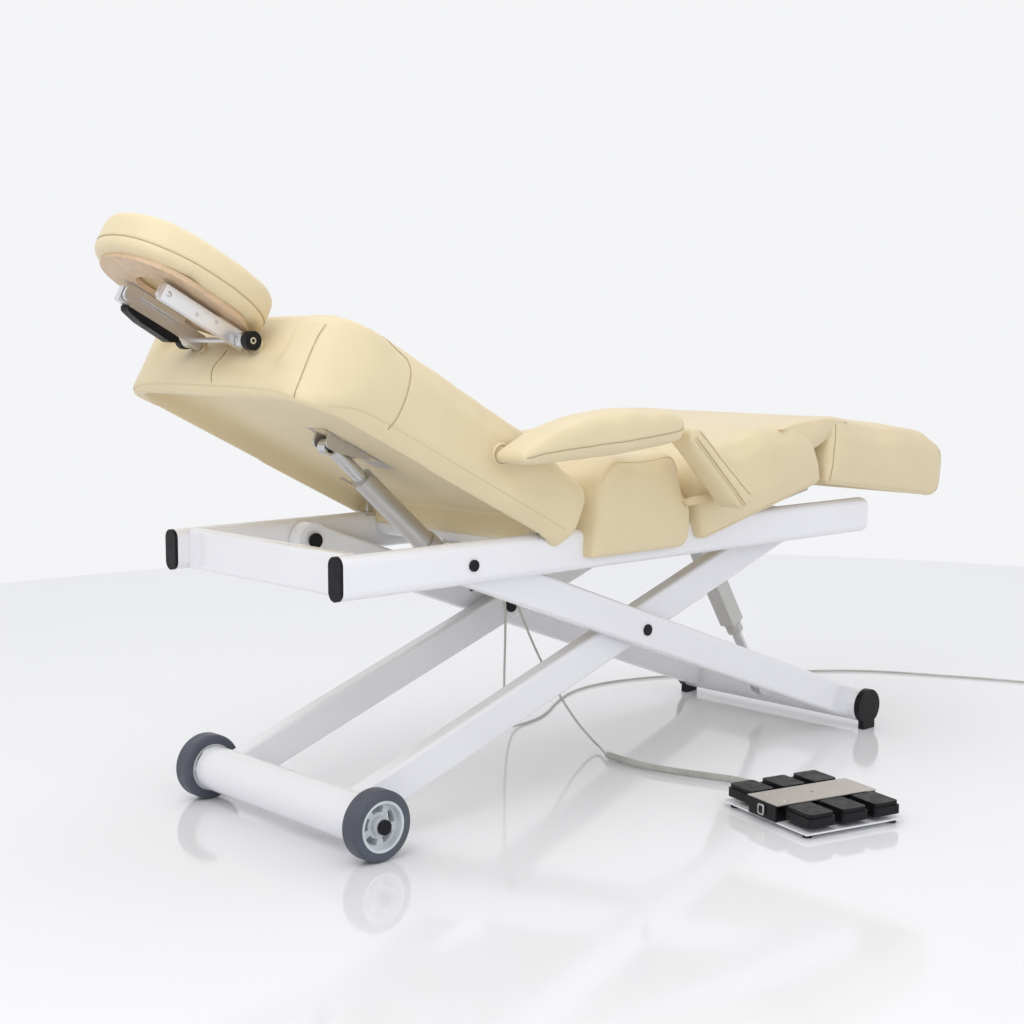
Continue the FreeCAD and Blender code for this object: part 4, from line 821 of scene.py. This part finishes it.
def arm_strut(side, word):
    angle = math.degrees(math.atan2(733 - 598, 929 - 765))
    place = Place(765, 733, angle, side * 380)
    obj = prism(f"{word}_strut_cushion", rounded(STRUT_PROFILE), -35, 35, "y", place)
    softened(remeshed(obj, 5 * MM), 7)
    refined(swollen(obj, 4 * MM))
    for face in (-1, 1):
        for number, (start, finish) in enumerate(((-5, -19), (1, -13), (20, 15))):
            ends = [(u, start + (finish - start) * u / 212) for u in (2, 60, 140, 212)]
            line = [place.out(x, face * 42, z) for x, z in ends]
            name = f"{word}_strut_piping_{'outer' if face == side else 'inner'}_{number}"
            riding(
                stitched(obj, name, smooth_line(line), depth=0.9 * MM, thread=1.5 * MM, proud=0.4,
                    material=MATERIALS["cream_upholstery"]),
                f"{word}_arm_strut",
            )
    finished(obj, f"{word}_arm_strut", [f"{word}_arm_strut"])


RING = Place(-127, 1034.5, 29.7)


def ring_outline(length, width):
    """A smooth oval, a little fuller than an ellipse."""
    loop = []
    for k in range(96):
        across, along = math.sin(k * math.pi / 48), math.cos(k * math.pi / 48)
        full = (abs(along) ** 2.25 + abs(across) ** 2.25) ** (-1 / 2.25)
        loop.append((length / 2 * along * full, width / 2 * across * full))
    return loop


def headrest_ring():
    obj = prism("headrest_ring", ring_outline(326, 274), -32, 36, "z", RING)
    obj = combined(obj, prism("ring_hole", ring_outline(164, 112), -90, 90, "z", RING), "DIFFERENCE")
    softened(remeshed(obj, 5 * MM), 11)
    refined(swollen(obj, 5 * MM))
    around = [RING.out(u, v, -13) for u, v in ring_outline(340, 288)]
    riding(stitched(obj, "headrest_ring_seam", around, closed=True), "ring")
    inner = [RING.out(u, v, -13) for u, v in ring_outline(156, 104)]
    riding(stitched(obj, "headrest_hole_seam", inner, closed=True), "ring")
    finished(obj, "ring", ["headrest_cushion"])


back_rest()
seat()
leg_rest()
foot_rest()
knee_flap()
for side, word in ((-1, "near"), (1, "far")):
    arm_pad(side, word)
    arm_strut(side, word)
headrest_ring()


# ------------------------------------------------------------------ small hardware
def turned(name, profile, centre, axis, material, sides=28):
    """A lathe piece: profile is (distance along the axis, radius) in millimetres."""
    turn = Vector((0, 0, 1)).rotation_difference(axis)
    vertices, faces = [], []
    for along, radius in profile:
        for k in range(sides):
            angle = 2 * math.pi * k / sides
            corner = Vector((radius * math.cos(angle), radius * math.sin(angle), along))
            vertices.append(centre + turn @ corner * MM)
    for i in range(len(profile) - 1):
        for k in range(sides):
            a, b = i * sides, (i + 1) * sides
            faces.append((a + k, a + (k + 1) % sides, b + (k + 1) % sides, b + k))
    faces.append(tuple(reversed(range(sides))))
    faces.append(tuple(range((len(profile) - 1) * sides, len(profile) * sides)))
    return mesh_object(name, vertices, faces, material, smooth=False)


def ring_piece(name, centre, axis, radius, thick, material, squeeze=1.0, sides=40):
    """A round or oval ring."""
    turn = Vector((0, 0, 1)).rotation_difference(axis)
    line = []
    for k in range(sides):
        angle = 2 * math.pi * k / sides
        point = Vector((radius * math.cos(angle), radius * squeeze * math.sin(angle), 0))
        line.append(centre + turn @ point * MM)
    return tube(name, line, thick * MM, material, sides=10, closed=True)


RIVET = [(0, 5.2), (0.8, 5.2), (1.9, 4.2), (2.5, 2.4), (2.7, 0.4)]
SCREW = [(0, 3.4), (0.7, 3.4), (1.3, 2.6), (1.3, 1.3), (0.6, 1.2), (0.6, 0.2)]
CAP_BOLT = [(0, 6.4), (1.6, 6.4), (2.2, 5.8), (2.2, 3.2), (0.8, 3.0), (0.8, 0.2)]
NECK = (-62, 924)
ARM_END = (-206, 1003)
ARM_ALONG = (Vector((ARM_END[0], 0, ARM_END[1])) - Vector((NECK[0], 0, NECK[1]))).normalized()
ARM_UP = Vector((-ARM_ALONG.z, 0, ARM_ALONG.x)) * -1


def on_arm(along, up, y):
    place = Vector((NECK[0], y, NECK[1])) + ARM_ALONG * along + ARM_UP * up
    return at(place.x, place.y, place.z)


def headrest_hardware():
    """Rivets and bolts on the arms, and the vinyl rings where the posts leave the back."""
    for side, word in SIDE_WORDS:
        out = Vector((0, side, 0))
        for number, (along, up, y, profile) in enumerate(
            ((164, 0, 79, RIVET), (60, 3, 79, SCREW), (100, -4, 79, SCREW), (20, 0, 79, SCREW))
        ):
            piece = turned(f"{word}_arm_rivet_{number}", profile, on_arm(along, up, side * y), out,
                MATERIALS["zinc_steel"])
            riding(piece, "headrest")
        seat_of_bolt = at(NECK[0], side * 114, NECK[1])
        bolt = turned(f"{word}_knob_bolt", CAP_BOLT, seat_of_bolt, out, MATERIALS["satin_steel"])
        riding(bolt, "headrest")
        axis = BACK.out(-1, 0, 0) - BACK.out(0, 0, 0)
        ring = ring_piece(f"{word}_post_grommet", BACK.out(-668, side * 90, 96), axis, 15, 4.2,
            MATERIALS["cream_upholstery"], 1.25)
        riding(ring, "back")


def armrest_hardware():
    """A sewn vinyl tab with an eyelet over each armrest's rear pivot."""
    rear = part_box("arm_pivot_pins")
    x, z = (rear[0][0] + rear[1][0]) / 2, (rear[0][2] + rear[1][2]) / 2
    vinyl_face = MATERIALS["cream_upholstery"]
    for side, word in SIDE_WORDS:
        out = Vector((0, side, 0))
        face = Vector((x, BED_ORIGIN.y + side * 321 * MM, z))
        outline = [(-3, 21), (4, 21), (6.5, 19.5), (7.5, 16), (7.5, 7.6), (4, 7.4), (4, 0.3)]
        tab = turned(f"{word}_pivot_tab", outline, face, out, vinyl_face)
        riding(tab, "back")
        seam = ring_piece(f"{word}_pivot_seam", face + out * 7.2 * MM, out, 17, 0.9, THREAD.material)
        riding(seam, "back")
        steel = MATERIALS["satin_steel"]
        eyelet = ring_piece(f"{word}_pivot_eyelet", face + out * 6.6 * MM, out, 7.6, 1.3, steel)
        riding(eyelet, "back")


def switch_hardware():
    """Screws of the cover plate and the framed socket on the housing's end."""
    low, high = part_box("switch_cover")
    centre = (Vector(low) + Vector(high)) / 2
    turn = Matrix.Rotation(math.radians(-14), 3, "Z")
    for number, (u, v) in enumerate(((-90, 28), (-90, -28), (0, 20), (30, -24), (90, 28), (90, -28))):
        place = Vector((centre.x, centre.y, high[2])) + turn @ Vector((u, v, 0)) * MM
        riding(turned(f"cover_screw_{number}", SCREW, place, Vector((0, 0, 1)), MATERIALS["satin_steel"]),
            "base")
    frame_line = []
    for u, v, _ in ((-8, -9, 0), (8, -9, 0), (8, 9, 0), (-8, 9, 0)):
        frame_line.append(Vector((centre.x, centre.y, 0)) + turn @ Vector((-124.6, u, 27 + v)) * MM)
    loop = []
    for i, corner in enumerate(frame_line):
        follow = frame_line[(i + 1) % 4]
        loop += [corner.lerp(follow, t) for t in (0.12, 0.5, 0.88)]
    riding(tube("socket_frame", loop, 2.2 * MM, MATERIALS["satin_aluminium"], sides=8, closed=True), "base")


headrest_hardware()
armrest_hardware()
switch_hardware()


# ------------------------------------------------------------------ floor
def floor():
    """A round glossy white floor that the object stands on."""
    low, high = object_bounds()
    centre = (low + high) / 2
    surface = Surface("white_floor", (0.9, 0.905, 0.92), 0.09)
    surface.tint(surface.noise(1.2, 3), 0.985, 1.0).polish(surface.noise(3, 4), 0.02)
    ring = [Vector((centre.x + 3.4 * math.cos(a / 64 * math.pi), centre.y + 3.4 * math.sin(a / 64 * math.pi),
        -0.0006)) for a in range(128)]
    mesh_object("floor", ring, [tuple(range(128))], surface.material, smooth=False)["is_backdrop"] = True


floor()
